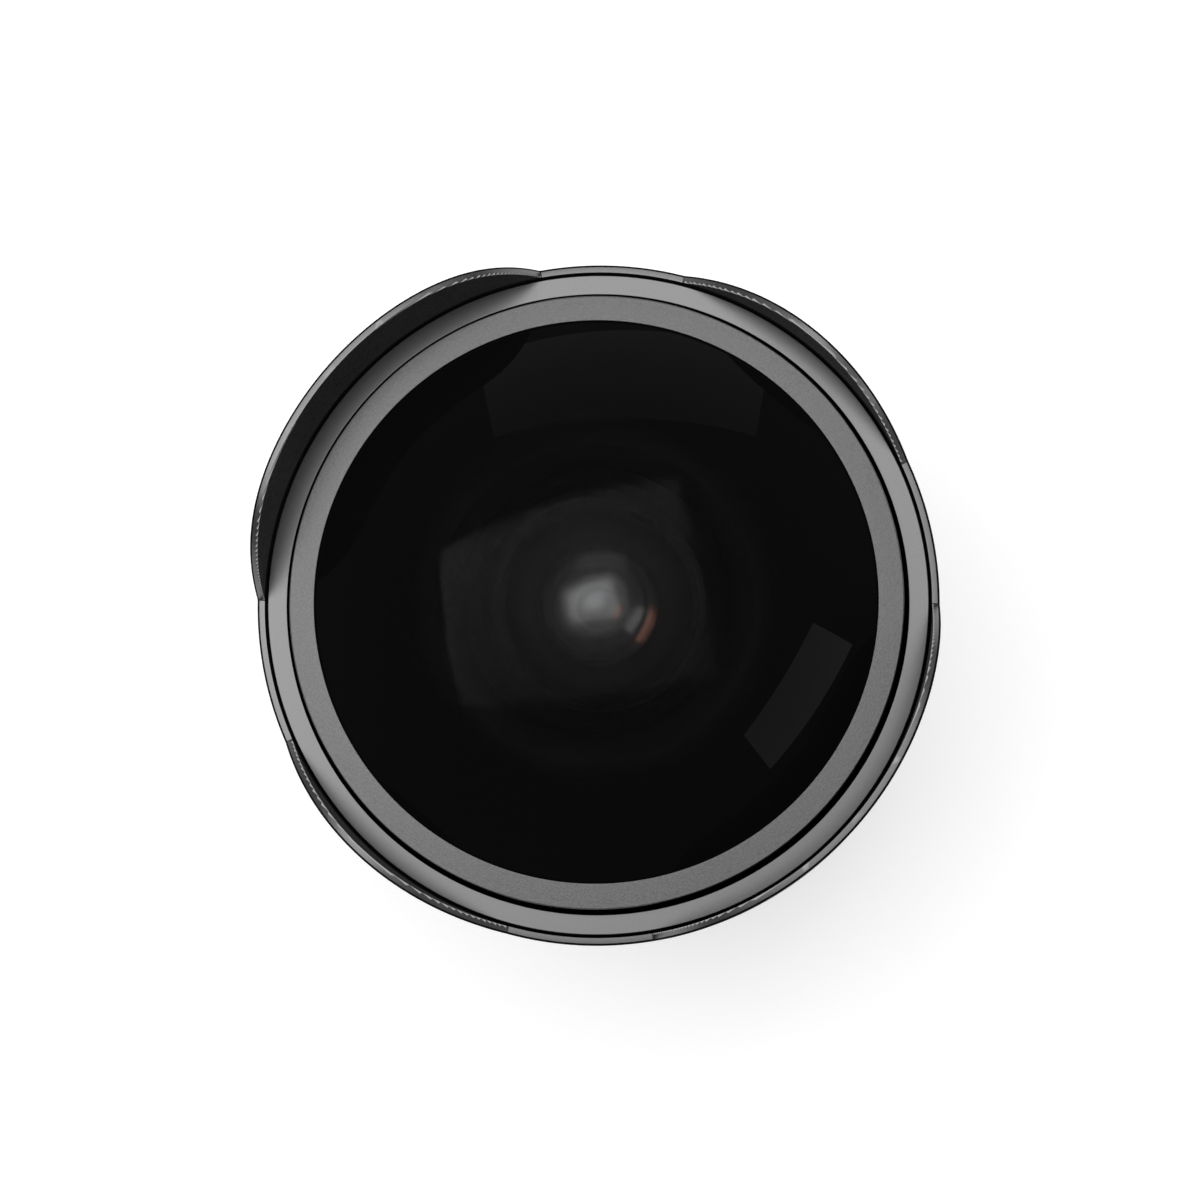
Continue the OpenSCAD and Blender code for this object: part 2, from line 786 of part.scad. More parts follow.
// The sliding cell with the cup for the front glass
module cell_tube() {
    color(matt_black)
        difference() {
            rotate_extrude()
                polygon([
                    [cell_bore, z_cell], [cell_r, z_cell], [cell_r, z_flare], [cup_out, z_flare + 1.5],
                    [cup_out, z_cup_top], [cup_in, z_cup_top], [cup_in, z_seal + seal_t],
                    [cup_in + seal_depth, z_seal + seal_t], [cup_in + seal_depth, z_seal],
                    [cup_in, z_seal], [cup_in, z_glass_back], [cell_bore, z_glass_back]
                ]);
            arc_block(cell_r + cut, cell_bore - cut, -key_half, aperture_sweep + key_half,
                z_cell_neck, z_key + key_t + ring_gap);
            around(roller_count)
                translate([cell_bore - cut, 0, z_roller])
                    outwards()
                        cylinder(r = roller_screw[2] + seat_fit, h = cell_wall + 2 * cut);
        }
}

// Three rollers that ride in the cam slots
module guide_rollers() {
    color(brass_tone)
        around(roller_count)
            translate([roller_low, 0, z_roller])
                outwards()
                    difference() {
                        cylinder(r = roller_r, h = roller_top - roller_low);
                        translate([0, 0, roller_top - roller_low])
                            screw_hole(roller_screw, roller_top - roller_low + cut);
                    }
}

module roller_screws() {
    color(steel_grey)
        around(roller_count)
            translate([roller_top, 0, z_roller])
                outwards()
                    screw(roller_screw, roller_top - cell_bore - ring_gap);
}

// The raised ring that holds the front glass in its cup
module front_retainer() {
    skirt_in = cup_out + seat_fit;
    lip_end = glass_r + 2 * glass_gap;
    lip_low = z_dome - sag(dome_radius, lip_end) + 2 * glass_gap;
    z_edge = z_rim + retainer_rise;
    color(matt_black)
        rotate_extrude()
            polygon([
                [skirt_in, z_cup_top - retainer_skirt_l], [retainer_r, z_cup_top - retainer_skirt_l],
                [retainer_r, z_edge], [glass_clear_r, z_edge + retainer_crown],
                [glass_clear_r, z_glass_edge + glass_gap], [lip_end, lip_low],
                [lip_end, z_cup_top + glass_gap], [skirt_in, z_cup_top + glass_gap]
            ]);
}

// The rubber ring round the edge of the front glass
module front_seal() {
    color(rubber_black)
        tube(cup_in + seal_depth - seat_fit, glass_r + seat_fit, z_seal + seat_fit, z_seal + seal_t - seat_fit);
}

// The large domed front glass with a deep hollow behind
module front_element() {
    color(glass_tint)
        difference() {
            intersection() {
                translate([0, 0, z_glass_back])
                    cylinder(r = glass_r, h = z_dome - z_glass_back);
                translate([0, 0, z_dome - dome_radius])
                    sphere(dome_radius, $fn = glass_fn);
            }
            translate([0, 0, z_dome - dome_t - hollow_radius])
                sphere(hollow_radius, $fn = glass_fn);
        }
}

// The holder of the second and third glasses
module front_spacer() {
    outer = cell_bore - seat_fit;
    color(matt_black)
        rotate_extrude()
            polygon([
                [third[0] + glass_gap, z_spacer_joint], [outer, z_spacer_joint], [outer, z_glass_back - ring_gap],
                [second[0] + glass_gap, z_glass_back - ring_gap], [second[0] + glass_gap, z_second_back],
                [second[3] + glass_gap, z_second_back], [second[3] + glass_gap, z_third_top],
                [third[0] + glass_gap, z_third_top]
            ]);
}

module second_element() {
    color(glass_tint)
        difference() {
            intersection() {
                translate([0, 0, z_second_back])
                    cylinder(r = second[0], h = z_second - z_second_back);
                translate([0, 0, z_second - second[1]])
                    sphere(second[1], $fn = glass_fn);
            }
            translate([0, 0, z_second - second[4] - second[2]])
                sphere(second[2], $fn = glass_fn);
        }
}

module third_element() {
    color(glass_tint)
        lens(third[0], -third[1], -third[2], third[3], z_third_top - sag(third[1], third[0]));
}

// The ring between the third and fourth glasses
module middle_retainer() {
    inner = fourth[0] - 1.4;
    color(matt_black)
        tube(fourth[0], inner, z_fourth - sag(fourth[1], inner) + glass_gap, z_third_back);
}

module fourth_element() {
    color(glass_tint)
        lens(fourth[0], fourth[1], fourth[1], fourth[2], z_fourth);
}

// The long holder between the third glass and the iris
module middle_spacer() {
    outer = cell_bore - seat_fit;
    pocket = fourth[0] + glass_gap;
    light_r = iris_open_r + 1;
    color(matt_black)
        rotate_extrude()
            polygon([
                [light_r, z_iris_top], [outer, z_iris_top], [outer, z_spacer_joint],
                [third[0] + 3 * glass_gap, z_spacer_joint], [third[0] + 3 * glass_gap, z_third_back],
                [pocket, z_third_back], [pocket, z_fourth_shelf], [fourth_shelf_r, z_fourth_shelf],
                [fourth_shelf_r, z_fourth_shelf - fourth_sag - 1]
            ]);
}

// The plate with the blade pivots and the rim round the blades
module iris_base() {
    outer = cell_bore - seat_fit;
    color(matt_black)
        difference() {
            union() {
                tube(outer, iris_open_r, z_iris_plate, z_iris_top);
                tube(outer, iris_rim_in, z_blades, z_iris_top);
            }
            around(blade_count)
                translate([pivot_circle_r, 0, z_iris_plate - cut])
                    cylinder(r = pin_r + run_fit, h = iris_plate_t + 2 * cut);
        }
}

// The turning ring whose slots swing the blades
module iris_drive_ring() {
    steps = 16;
    half = pin_r + 2 * run_fit;
    path = [for (i = [0:steps]) pin_path(i / steps)];
    heading = [
        for (i = [0:steps])
            let (d = path[min(i + 1, steps)] - path[max(i - 1, 0)])
                d / norm(d)
    ];
    sides = concat(
        [for (i = [0:steps]) path[i] + half * [heading[i][1], -heading[i][0]]],
        [for (i = [steps:-1:0]) path[i] - half * [heading[i][1], -heading[i][0]]]
    );
    color(steel_grey)
        difference() {
            tube(cell_bore - run_fit, drive_in, z_drive, z_drive + drive_t);
            translate([0, 0, z_drive - cut])
                around(blade_count) {
                    linear_extrude(drive_t + 2 * cut)
                        polygon(sides);
                    for (end = [path[0], path[steps]])
                        translate(end)
                            cylinder(r = half, h = drive_t + 2 * cut);
                }
            translate([key_tip_r - ring_gap, -key_w / 2 - run_fit, z_drive - cut])
                cube([cell_bore, key_w + 2 * run_fit, drive_t + 2 * cut]);
        }
}

// One blade of the iris: a crescent, its tab, its pivot pin and its drive pin
module iris_blade(number) {
    z_low = z_blades + (number - 1) * blade_pitch;
    pivot = [pivot_circle_r, 0];
    drive = [pivot_circle_r, -drive_arm];
    web = 0.6 * blade_tab_r;
    z_mid = z_low + blade_t / 2;
    color(matt_black)
        rotate([0, 0, (number - 1) * blade_step]) {
            translate([0, 0, z_low])
                linear_extrude(blade_t) {
                    intersection() {
                        difference() {
                            circle(blade_out);
                            circle(blade_in);
                        }
                        polygon(sector(blade_out, -6, blade_end, 24));
                    }
                    for (place = [pivot, drive])
                        translate(place)
                            circle(blade_tab_r);
                    polygon([
                        polar(blade_out - 2, 6), pivot + [0, web], pivot + [web, 0],
                        drive + [web, 0], drive + [0, -web], drive + [-web, 0], polar(blade_out - 2, -4)
                    ]);
                }
            translate([pivot_circle_r, 0, z_mid])
                cylinder(r = pin_r, h = z_iris_top - z_mid - seat_fit);
            translate([drive[0], drive[1], z_drive + seat_fit])
                cylinder(r = pin_r, h = z_mid - z_drive - seat_fit);
        }
}

// The holder of the glasses behind the iris
module rear_cell() {
    outer = cell_bore - seat_fit;
    rear_in = rear[0] + glass_gap;
    front_in = doublet[0] + glass_gap;
    color(matt_black)
        rotate_extrude()
            polygon([
                [rear_in, z_rear_end], [rear_cell_r, z_rear_end], [rear_cell_r, z_cell_flange],
                [outer, z_cell_flange], [outer, z_cell_neck], [cell_neck_r, z_cell_neck],
                [cell_neck_r, z_drive - ring_gap], [front_in, z_drive - ring_gap],
                [front_in, z_doublet_shelf], [doublet_shelf_r, z_doublet_shelf],
                [doublet_shelf_r, z_rear_edge],
                [rear_in, z_rear_edge]
            ]);
}

module doublet_front() {
    color(glass_tint)
        lens(doublet[0], doublet[1], doublet[1], doublet[2], z_doublet);
}

module doublet_rear() {
    color(glass_tint)
        lens(doublet[0], -doublet[1], doublet[3], doublet[4], z_doublet_mid - cement_gap);
}

// The ring that holds the cemented pair in its pocket
module doublet_retainer() {
    inner = doublet[0] - 0.8;
    color(matt_black)
        tube(doublet[0], inner, z_doublet - sag(doublet[1], inner) + glass_gap, z_drive - ring_gap);
}

module rear_element() {
    color(glass_tint)
        lens(rear[0], rear[1], rear[2], rear[3], z_rear);
}

// The ring that holds the rear glass
module rear_retainer() {
    inner = rear[0] - 1;
    color(matt_black)
        tube(rear[0], inner, z_rear_end, z_rear - rear[3] + sag(rear[2], inner) - glass_gap);
}

// The petal hood with its three lugs
module hood() {
    color(satin_black) {
        tube(hood_r, hood_in, z_hood, z_rim);
        intersection() {
            tube(hood_r, hood_in, z_rim - cut, z_rim + tall_h + cut);
            union() {
                rotate([90, 0, 0])
                    linear_extrude(3 * hood_r, center = true)
                        polygon(petal(tall_half, tall_h, tall_power));
                rotate([90, 0, 90])
                    linear_extrude(3 * hood_r, center = true)
                        polygon(petal(narrow_half, narrow_h, narrow_power));
            }
        }
        around(hood_lug_count, hood_lug_angle)
            arc_block(hood_in + hood_wall / 2, hood_lug_r, -hood_lug_sweep / 2, hood_lug_sweep / 2,
                z_hood_lug, z_hood_lug + hood_lug_t);
    }
}

bayonet_mount();
mount_screws();
rear_baffle();
rear_housing();
mount_index();
click_spring();
inner_tube();
tube_screws();
scale_ring();
front_barrel();
barrel_screws();
trim_ring();
aperture_ring();
aperture_key();
click_ball();
focus_cam();
focus_ring();
focus_screws();
focus_grip();
cell_tube();
guide_rollers();
roller_screws();
front_retainer();
front_seal();
front_element();
front_spacer();
second_element();
third_element();
middle_retainer();
fourth_element();
middle_spacer();
iris_base();
rear_cell();
doublet_front();
doublet_rear();
doublet_retainer();
rear_element();
rear_retainer();
iris_drive_ring();
iris_blade(1);  // iris_blade_1
iris_blade(2);  // iris_blade_2
iris_blade(3);  // iris_blade_3
iris_blade(4);  // iris_blade_4
iris_blade(5);  // iris_blade_5
iris_blade(6);  // iris_blade_6
iris_blade(7);  // iris_blade_7
hood();
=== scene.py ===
# %% [markdown]
# # A fisheye lens with a petal hood
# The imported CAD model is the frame: it fixes where every piece sits and how it moves. This script gives the lens its
# looks. What the eye can see is modelled again with rounded edges and fine detail, and everything deeper inside keeps
# its CAD shape and gets a finish. All CAD sizes are in metres, so a short name for a millimetre keeps the numbers
# readable.

# %% Load the frame
import json
import math

import bmesh
import bpy
from mathutils import Matrix, Vector


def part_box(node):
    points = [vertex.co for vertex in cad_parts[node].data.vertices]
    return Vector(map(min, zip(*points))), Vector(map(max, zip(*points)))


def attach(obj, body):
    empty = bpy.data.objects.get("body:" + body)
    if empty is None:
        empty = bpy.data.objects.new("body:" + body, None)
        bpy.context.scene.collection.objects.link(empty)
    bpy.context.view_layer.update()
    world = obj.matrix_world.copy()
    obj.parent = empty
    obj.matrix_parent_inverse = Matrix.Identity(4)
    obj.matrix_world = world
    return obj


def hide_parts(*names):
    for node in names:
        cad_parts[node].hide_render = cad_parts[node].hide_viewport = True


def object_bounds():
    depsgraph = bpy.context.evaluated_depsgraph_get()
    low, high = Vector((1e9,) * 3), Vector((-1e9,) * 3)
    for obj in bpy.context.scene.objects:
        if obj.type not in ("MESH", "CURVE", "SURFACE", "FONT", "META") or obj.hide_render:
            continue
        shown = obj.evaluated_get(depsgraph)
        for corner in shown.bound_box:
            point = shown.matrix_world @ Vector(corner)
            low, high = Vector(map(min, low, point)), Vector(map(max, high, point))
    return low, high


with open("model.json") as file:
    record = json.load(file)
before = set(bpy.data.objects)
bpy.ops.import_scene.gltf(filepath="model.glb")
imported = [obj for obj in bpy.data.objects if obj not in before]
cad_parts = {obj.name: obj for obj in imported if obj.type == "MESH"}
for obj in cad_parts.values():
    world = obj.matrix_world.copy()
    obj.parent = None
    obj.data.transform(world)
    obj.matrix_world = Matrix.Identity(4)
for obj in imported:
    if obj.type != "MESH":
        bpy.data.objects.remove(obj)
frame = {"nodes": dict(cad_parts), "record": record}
cad_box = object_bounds()
MM = 0.001

# %% [markdown]
# ## Two helpers for materials
# Colours are written as the hex values that a colour picker shows, which are sRGB. Shaders work in linear light, so
# one function converts them. The other adds a node with its settings and links in a single call, which keeps each
# material short.


# %% Material helpers
def linear(hex_colour):
    """Turns an sRGB hex value into the linear colour that a shader takes."""
    parts = [int(hex_colour[i:i + 2], 16) / 255 for i in (1, 3, 5)]
    return [c / 12.92 if c <= 0.04045 else ((c + 0.055) / 1.055) ** 2.4 for c in parts] + [1.0]


def add(tree, kind, options=None, values=None, links=None):
    """Adds a node with options, socket values and links. Sockets go by name, or by number where names repeat."""
    made = tree.nodes.new(kind)
    for name, value in (options or {}).items():
        setattr(made, name, value)
    for name, value in (values or {}).items():
        made.inputs[name].default_value = value
    for name, output in (links or {}).items():
        tree.links.new(output, made.inputs[name])
    return made


def new_finish(name, **values):
    """Starts a material: its tree, its main shader and the object coordinates that its patterns read."""
    material = bpy.data.materials.new(name)
    material.use_nodes = True
    tree = material.node_tree
    shader = tree.nodes["Principled BSDF"]
    for socket, value in values.items():
        shader.inputs[socket.replace("_", " ")].default_value = value
    place = add(tree, "ShaderNodeTexCoord").outputs["Object"]
    return material, tree, shader, place


def per_mm(size):
    """Texture scale at which one feature of a pattern is about this many millimetres wide."""
    return 1 / (size * MM)


# %% [markdown]
# ## Black finishes
# Nearly everything on the outside is black, so the finishes differ by their gloss and grain rather than by colour.
# The anodised aluminium of the barrel has a hard oxide skin with a high refractive index and a faint blasted grain.
# Each pattern is noise at a real size: a large one shifts the tone a little, and a fine one drives roughness and
# bump.


# %% Grained black finishes
def grained_black(name, dark, light, grain, depth, rough, ior, speckle=0.03):
    """A black finish: tone from dark to light, grain in mm, bump depth in mm, a roughness range and uneven sheen."""
    material, tree, shader, place = new_finish(name, IOR=ior)
    cloud = add(tree, "ShaderNodeTexNoise", values={"Scale": per_mm(9), "Detail": 3.0}, links={"Vector": place})
    tone = add(tree, "ShaderNodeValToRGB", links={"Fac": cloud.outputs["Fac"]})
    for stop, colour in zip(tone.color_ramp.elements, (dark, light)):
        stop.color = linear(colour)
    fine = add(tree, "ShaderNodeTexNoise", values={"Scale": per_mm(grain), "Detail": 2.0}, links={"Vector": place})
    gloss = add(tree, "ShaderNodeMapRange", values={"To Min": rough[0], "To Max": rough[1]},
                links={"Value": fine.outputs["Fac"]})
    sheen = add(tree, "ShaderNodeMapRange",
                values={"From Min": 0.3, "From Max": 0.7, "To Min": 0.5 - speckle, "To Max": 0.5 + speckle},
                links={"Value": fine.outputs["Fac"]})
    bump = add(tree, "ShaderNodeBump", values={"Strength": 0.5, "Distance": depth * MM},
               links={"Height": fine.outputs["Fac"]})
    tree.links.new(sheen.outputs["Result"], shader.inputs["Specular IOR Level"])
    tree.links.new(tone.outputs["Color"], shader.inputs["Base Color"])
    tree.links.new(gloss.outputs["Result"], shader.inputs["Roughness"])
    tree.links.new(bump.outputs["Normal"], shader.inputs["Normal"])
    return material


# Anodised aluminium of the barrel, fine blasted: black oxide with a soft sheen
anodised = grained_black("black anodised aluminium", "#121213", "#171718", 0.16, 0.006, (0.3, 0.42), 1.5)
# The same on the finely turned front ring: its dense skin has a high refractive index and shines more
bright_anodised = grained_black("satin anodised aluminium", "#1a1a1c", "#1f1f21", 0.16, 0.006, (0.28, 0.38), 1.9)
# Blasted and anodised a second time: flatter, with a grain that shows as fine speckle
matt_anodised = grained_black("matt blasted aluminium", "#1e1e20", "#252528", 0.22, 0.03, (0.36, 0.5), 1.82, 0.1)
# Black ABS under a satin lacquer, which gives it nearly the sheen of the metal
hood_plastic = grained_black("satin lacquered black ABS", "#18181a", "#1d1d1f", 0.2, 0.006, (0.28, 0.38), 1.95)
# The same ABS on the outer wall, where the lacquer is thin and the moulded grain shows
hood_wall = grained_black("grained black ABS", "#121213", "#171718", 0.3, 0.012, (0.34, 0.46), 1.5)
# Flat black lining of the hood: a rough coat that keeps stray light from the glass
hood_lining = grained_black("flat black hood lining", "#1d1d1e", "#2a2a2b", 0.3, 0.09, (0.55, 0.8), 1.35, 0.25)
# Moulded rubber: dull, with a dusty tone on its broad faces
rubber = grained_black("moulded black rubber", "#141415", "#1b1b1c", 0.25, 0.03, (0.6, 0.8), 1.5)
# Blackened inside of the lens: swallows nearly all light. The same black is also painted shade on the upright walls
# of the front rings, under the hood and on the hood's outer rim corner.
lacquer_and_painted_shade = grained_black("flat black lacquer and painted shade", "#050506", "#070708", 0.3, 0.02, (0.7, 0.9), 1.15)
# Blackened spring steel of the iris blades: dark with a thin metallic sheen
blade_black = grained_black("blackened spring steel", "#18181a", "#202023", 0.4, 0.004, (0.35, 0.5), 1.6)
print("black finishes: 9")

# %% [markdown]
# ## Bare metals
# Turned metal carries fine grooves in circles round its axis. A Wave texture set to rings round Z draws them, because
# every turned piece here shares the lens axis. Real grooves are a few hundredths of a millimetre apart, too fine to
# show, so they are drawn at about a quarter of a millimetre.


# %% Turned metals
def turned_metal(name, colour, pitch, rough):
    """A metal with grooves round the lens axis at a pitch in mm."""
    material, tree, shader, place = new_finish(name, Metallic=1.0, Base_Color=linear(colour))
    # one period of a ring wave spans 2 pi / 20 of the texture's unit
    rings = add(tree, "ShaderNodeTexWave", {"wave_type": "RINGS", "rings_direction": "Z"},
                {"Scale": per_mm(pitch) * math.tau / 20}, {"Vector": place})
    gloss = add(tree, "ShaderNodeMapRange", values={"To Min": rough[0], "To Max": rough[1]},
                links={"Value": rings.outputs["Fac"]})
    bump = add(tree, "ShaderNodeBump", values={"Strength": 0.2, "Distance": 0.002 * MM},
               links={"Height": rings.outputs["Fac"]})
    tree.links.new(gloss.outputs["Result"], shader.inputs["Roughness"])
    tree.links.new(bump.outputs["Normal"], shader.inputs["Normal"])
    return material


# Chromed brass of the mount: bright, with a satin turned face
chrome = turned_metal("satin chromed brass", "#a6a7aa", 0.4, (0.14, 0.22))
# Plain turned aluminium of the fixed tube
aluminium = turned_metal("turned aluminium", "#b4b5b8", 0.3, (0.3, 0.42))
# Steel of screws, springs and the iris ring
steel = turned_metal("turned steel", "#a8a8aa", 0.2, (0.25, 0.38))
# Greased brass of the cam sleeve and its rollers
brass = turned_metal("turned brass", "#c9a45c", 0.3, (0.22, 0.35))
print("metals: 4")

# %% [markdown]
# ## Coated glass
# Camera glass is coated so that it reflects well under one per cent of the light, where bare glass reflects four. The
# Principled shader scales the reflection of its transmission lobe by Specular Tint, so a dark tint stands for the
# coating, and its hue for the colour that such a coating leaves.


# %% Coated glasses
def coated_glass(name, ior, reflection, rough=0.0):
    """Clear glass whose coating reflects the given colour, sharply or a little softened."""
    return new_finish(name, Transmission_Weight=1.0, Roughness=rough, IOR=ior, Base_Color=linear("#fdfdfd"),
                      Specular_Tint=linear(reflection))[0]


# Crown glass under many thin layers: only faint reflections are left
FRONT_IOR, FRONT_COAT = 1.6, "#2c2c2c"
front_glass = coated_glass("coated crown glass", FRONT_IOR, FRONT_COAT)
# Flint glass under one layer: it gives the glow in the middle, slightly softened
second_coat = coated_glass("single coated flint glass", 1.62, "#a9aaab", 0.12)
# Flint glass under two layers: it reflects less
third_coat = coated_glass("double coated flint glass", 1.62, "#6a6a6a")
# Flint glass of the rear group, whose coating leaves a green cast
rear_glass = coated_glass("green coated flint glass", 1.62, "#3c463f")
print("glasses: 4")

# %% [markdown]
# The clear middle of the front glass carries a trace of dust. Round it the glass lies on black lacquer, so its shader
# blends there into a black one with the same coating. Rays then needn't find their way through the glass to see
# nothing, and the faint reflections come out free of noise.

# %% Lacquer behind the front glass
CLEAR_SHARE = 0.9978
CLEAR_R, LACQUER_R = 18, 21
tree = front_glass.node_tree
clear, place = tree.nodes["Principled BSDF"], tree.nodes["Texture Coordinate"].outputs["Object"]
clear.inputs["Transmission Weight"].default_value = CLEAR_SHARE
backed = add(tree, "ShaderNodeBsdfPrincipled",
             values={"Base Color": linear("#090909"), "Roughness": 0.0, "IOR": FRONT_IOR,
                     "Specular Tint": linear(FRONT_COAT)})
flat = add(tree, "ShaderNodeVectorMath", {"operation": "MULTIPLY"}, {1: (1, 1, 0)}, {0: place})
radius = add(tree, "ShaderNodeVectorMath", {"operation": "LENGTH"}, links={"Vector": flat.outputs["Vector"]})
outside = add(tree, "ShaderNodeMapRange", {"interpolation_type": "SMOOTHSTEP"},
              {"From Min": CLEAR_R * MM, "From Max": LACQUER_R * MM}, {"Value": radius.outputs["Value"]})
blend = add(tree, "ShaderNodeMixShader",
            links={"Fac": outside.outputs["Result"], 1: clear.outputs["BSDF"], 2: backed.outputs["BSDF"]})
tree.links.new(blend.outputs["Shader"], tree.nodes["Material Output"].inputs["Surface"])
print("front glass clear to", CLEAR_R, "mm and lacquered from", LACQUER_R, "mm")

# %% [markdown]
# ## Enamel
# Engraved marks are filled with enamel, which dries to a soft gloss that is never quite even. A fine noise in the
# roughness is enough to show that.


# %% Enamels
def enamel(name, colour):
    """Enamel paint in one colour, with a slightly uneven gloss."""
    material, tree, shader, place = new_finish(name, Base_Color=linear(colour))
    coat = add(tree, "ShaderNodeTexNoise", values={"Scale": per_mm(0.5)}, links={"Vector": place})
    gloss = add(tree, "ShaderNodeMapRange", values={"To Min": 0.35, "To Max": 0.55},
                links={"Value": coat.outputs["Fac"]})
    tree.links.new(gloss.outputs["Result"], shader.inputs["Roughness"])
    return material


# Warm white of the main scales
white_enamel = enamel("white enamel", "#e6e6e2")
# Amber of the scale in feet
amber_enamel = enamel("amber enamel", "#d9963a")
# Red of the alignment bead
red_enamel = enamel("red enamel", "#b3201a")
print("enamels: 3")

# %% [markdown]
# ## Finishes for the CAD nodes that stay
# Each CAD node belongs to one material slot of the record. A node that keeps its CAD shape takes the finish of its
# slot.

# %% Dress the CAD nodes
finish_of_slot = {
    "black_anodised": anodised, "hood_black": hood_plastic, "matt_black": lacquer_and_painted_shade, "blade_black": blade_black,
    "tube_aluminium": aluminium, "mount_chrome": chrome, "steel": steel, "brass": brass, "rubber": rubber,
    "coated_glass": front_glass, "index_red": red_enamel,
}
for subpart in frame["record"]["subparts"]:
    mesh = frame["nodes"][subpart["node"]].data
    mesh.materials.clear()
    mesh.materials.append(finish_of_slot[subpart["material_slot"]])

# %% [markdown]
# ## Turning a ring on a lathe
# A lens barrel is turned on a lathe, so its pieces are drawn the same way: half a cross-section, spun once round the
# axis. Sharp corners look like computer drawings because no real edge is perfectly sharp, so a corner may carry a
# rounding. The corners are bevelled while the section is still flat, which is cheaper and cleaner than bevelling the
# finished ring.


# %% The lathe
STEPS = 256


def lathe(section, steps=STEPS, angle=math.tau):
    """Spins a closed section round Z. Its corners are (radius, height) or (radius, height, rounding), in mm."""
    bm = bmesh.new()
    corners = [bm.verts.new((corner[0] * MM, 0, corner[1] * MM)) for corner in section]
    bm.faces.new(corners)
    roundings = [corner[2] if len(corner) > 2 else 0 for corner in section]
    for size in sorted(set(roundings) - {0}):
        picked = [vert for vert, rounding in zip(corners, roundings) if rounding == size]
        bmesh.ops.bevel(bm, geom=picked, offset=size * MM, offset_type="OFFSET", affect="VERTICES", segments=4,
                        profile=0.5, material=-1)
    bmesh.ops.delete(bm, geom=bm.faces[:], context="FACES_ONLY")
    bmesh.ops.spin(bm, geom=bm.verts[:] + bm.edges[:], cent=(0, 0, 0), axis=(0, 0, 1), angle=angle, steps=steps,
                   use_merge=angle == math.tau)
    bmesh.ops.remove_doubles(bm, verts=bm.verts[:], dist=1e-7)
    bmesh.ops.recalc_face_normals(bm, faces=bm.faces[:])
    return bm


def polar(point):
    """Radius and height in mm, and angle in degrees from 0 to 360, of a point."""
    return math.hypot(point.x, point.y) / MM, point.z / MM, math.degrees(math.atan2(point.y, point.x)) % 360


# %% [markdown]
# Every new piece ends in the same few steps: smooth shading that stops at real edges, its finish, the body that it
# moves with, and the CAD node that it stands for. Smooth shading alone would bend the light on a flat ring near its
# rounded edge. A Weighted Normal modifier lets the large faces set the shading there, so flats stay flat.


# %% Finishing a piece
EDGE_ANGLE = 35


def finish_piece(bm, name, body, slot, finishes, *stands_for):
    """Makes the object of a finished bmesh, shades it, and ties it to its body and CAD nodes. The slot is not used."""
    for face in bm.faces:
        face.smooth = True
    for edge in bm.edges:
        edge.smooth = edge.calc_face_angle(0) < math.radians(EDGE_ANGLE)
    mesh = bpy.data.meshes.new(name)
    bm.to_mesh(mesh)
    bm.free()
    for finish in finishes:
        mesh.materials.append(finish)
    piece = bpy.data.objects.new(name, mesh)
    bpy.context.collection.objects.link(piece)
    even = piece.modifiers.new("even shading", "WEIGHTED_NORMAL")
    even.keep_sharp = True
    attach(piece, body)
    if stands_for:
        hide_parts(*stands_for)
    print(f"{name}: {sum(len(p.vertices) - 2 for p in mesh.polygons)} triangles on {body}")
    return piece


def node_size(node):
    """Outer radius, lowest and highest point of a round CAD node, in mm."""
    low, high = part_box(node)
    return max(high[0], high[1]) / MM, low[2] / MM, high[2] / MM


# %% [markdown]
# ## The petal hood
# The hood is a thin tube whose front edge rises into two wide petals and two narrow ones. Its inside has fine grooves
# that stop stray light, and where the sloping rim cuts across them they show as a row of tiny teeth. A boolean cut
# could make that, but it is slow on so many grooves. Here a quarter of the grooved tube is spun first, its columns
# are crowded together where the rim climbs steeply, and every vertex above the rim is brought down onto it. Two
# mirrors complete the tube.

# %% Outline of the hood
hood_r, hood_low, petal_top = node_size("hood")
HOOD_WALL = 0.86
NOTCH_Z = 62.0
NOTCH_COLUMNS = 36
RIM_ROUND, RIM_STEPS = 0.25, 4
RIM_FALL = 0.06
GROOVE_LOW = 62.25
GROOVE_PITCH, GROOVE_DEPTH, LEDGE_FALL = 0.45, 0.25, 0.02
# middle angle, half angle, rise above the notches and power of each petal's outline
NARROW, WIDE = (0, 25.5, 7.2, 2.1), (90, 40, petal_top - NOTCH_Z, 5.2)


def petal_shares(half, rise, power, climb=0.1):
    """Shares of a petal's half angle from its end to its middle, closer together where the rim climbs fast."""
    shares, share = [], 1.0
    while share > 0:
        shares.append(share)
        share -= min(1 / half, climb / (rise * power * share ** (power - 1)))
    return shares


narrow_end, wide_start = NARROW[0] + NARROW[1], WIDE[0] - WIDE[1]
columns = [NARROW[0]] + [NARROW[0] + NARROW[1] * share for share in reversed(petal_shares(*NARROW[1:]))]
columns += [narrow_end + (wide_start - narrow_end) * i / NOTCH_COLUMNS for i in range(1, NOTCH_COLUMNS)]
columns += [WIDE[0] - WIDE[1] * share for share in petal_shares(*WIDE[1:])] + [WIDE[0]]
print("columns in a quarter of the hood:", len(columns))


def rim_height(angle):
    """Height of the rim and its slope along the wall, at an angle in degrees of the first quarter."""
    for middle, half, rise, power in (NARROW, WIDE):
        share = abs(angle - middle) / half
        if share < 1:
            fall = rise * power * share ** (power - 1) / (math.radians(half) * hood_r)
            return NOTCH_Z + rise * (1 - share ** power), -math.copysign(fall, angle - middle)
    return NOTCH_Z, 0.0
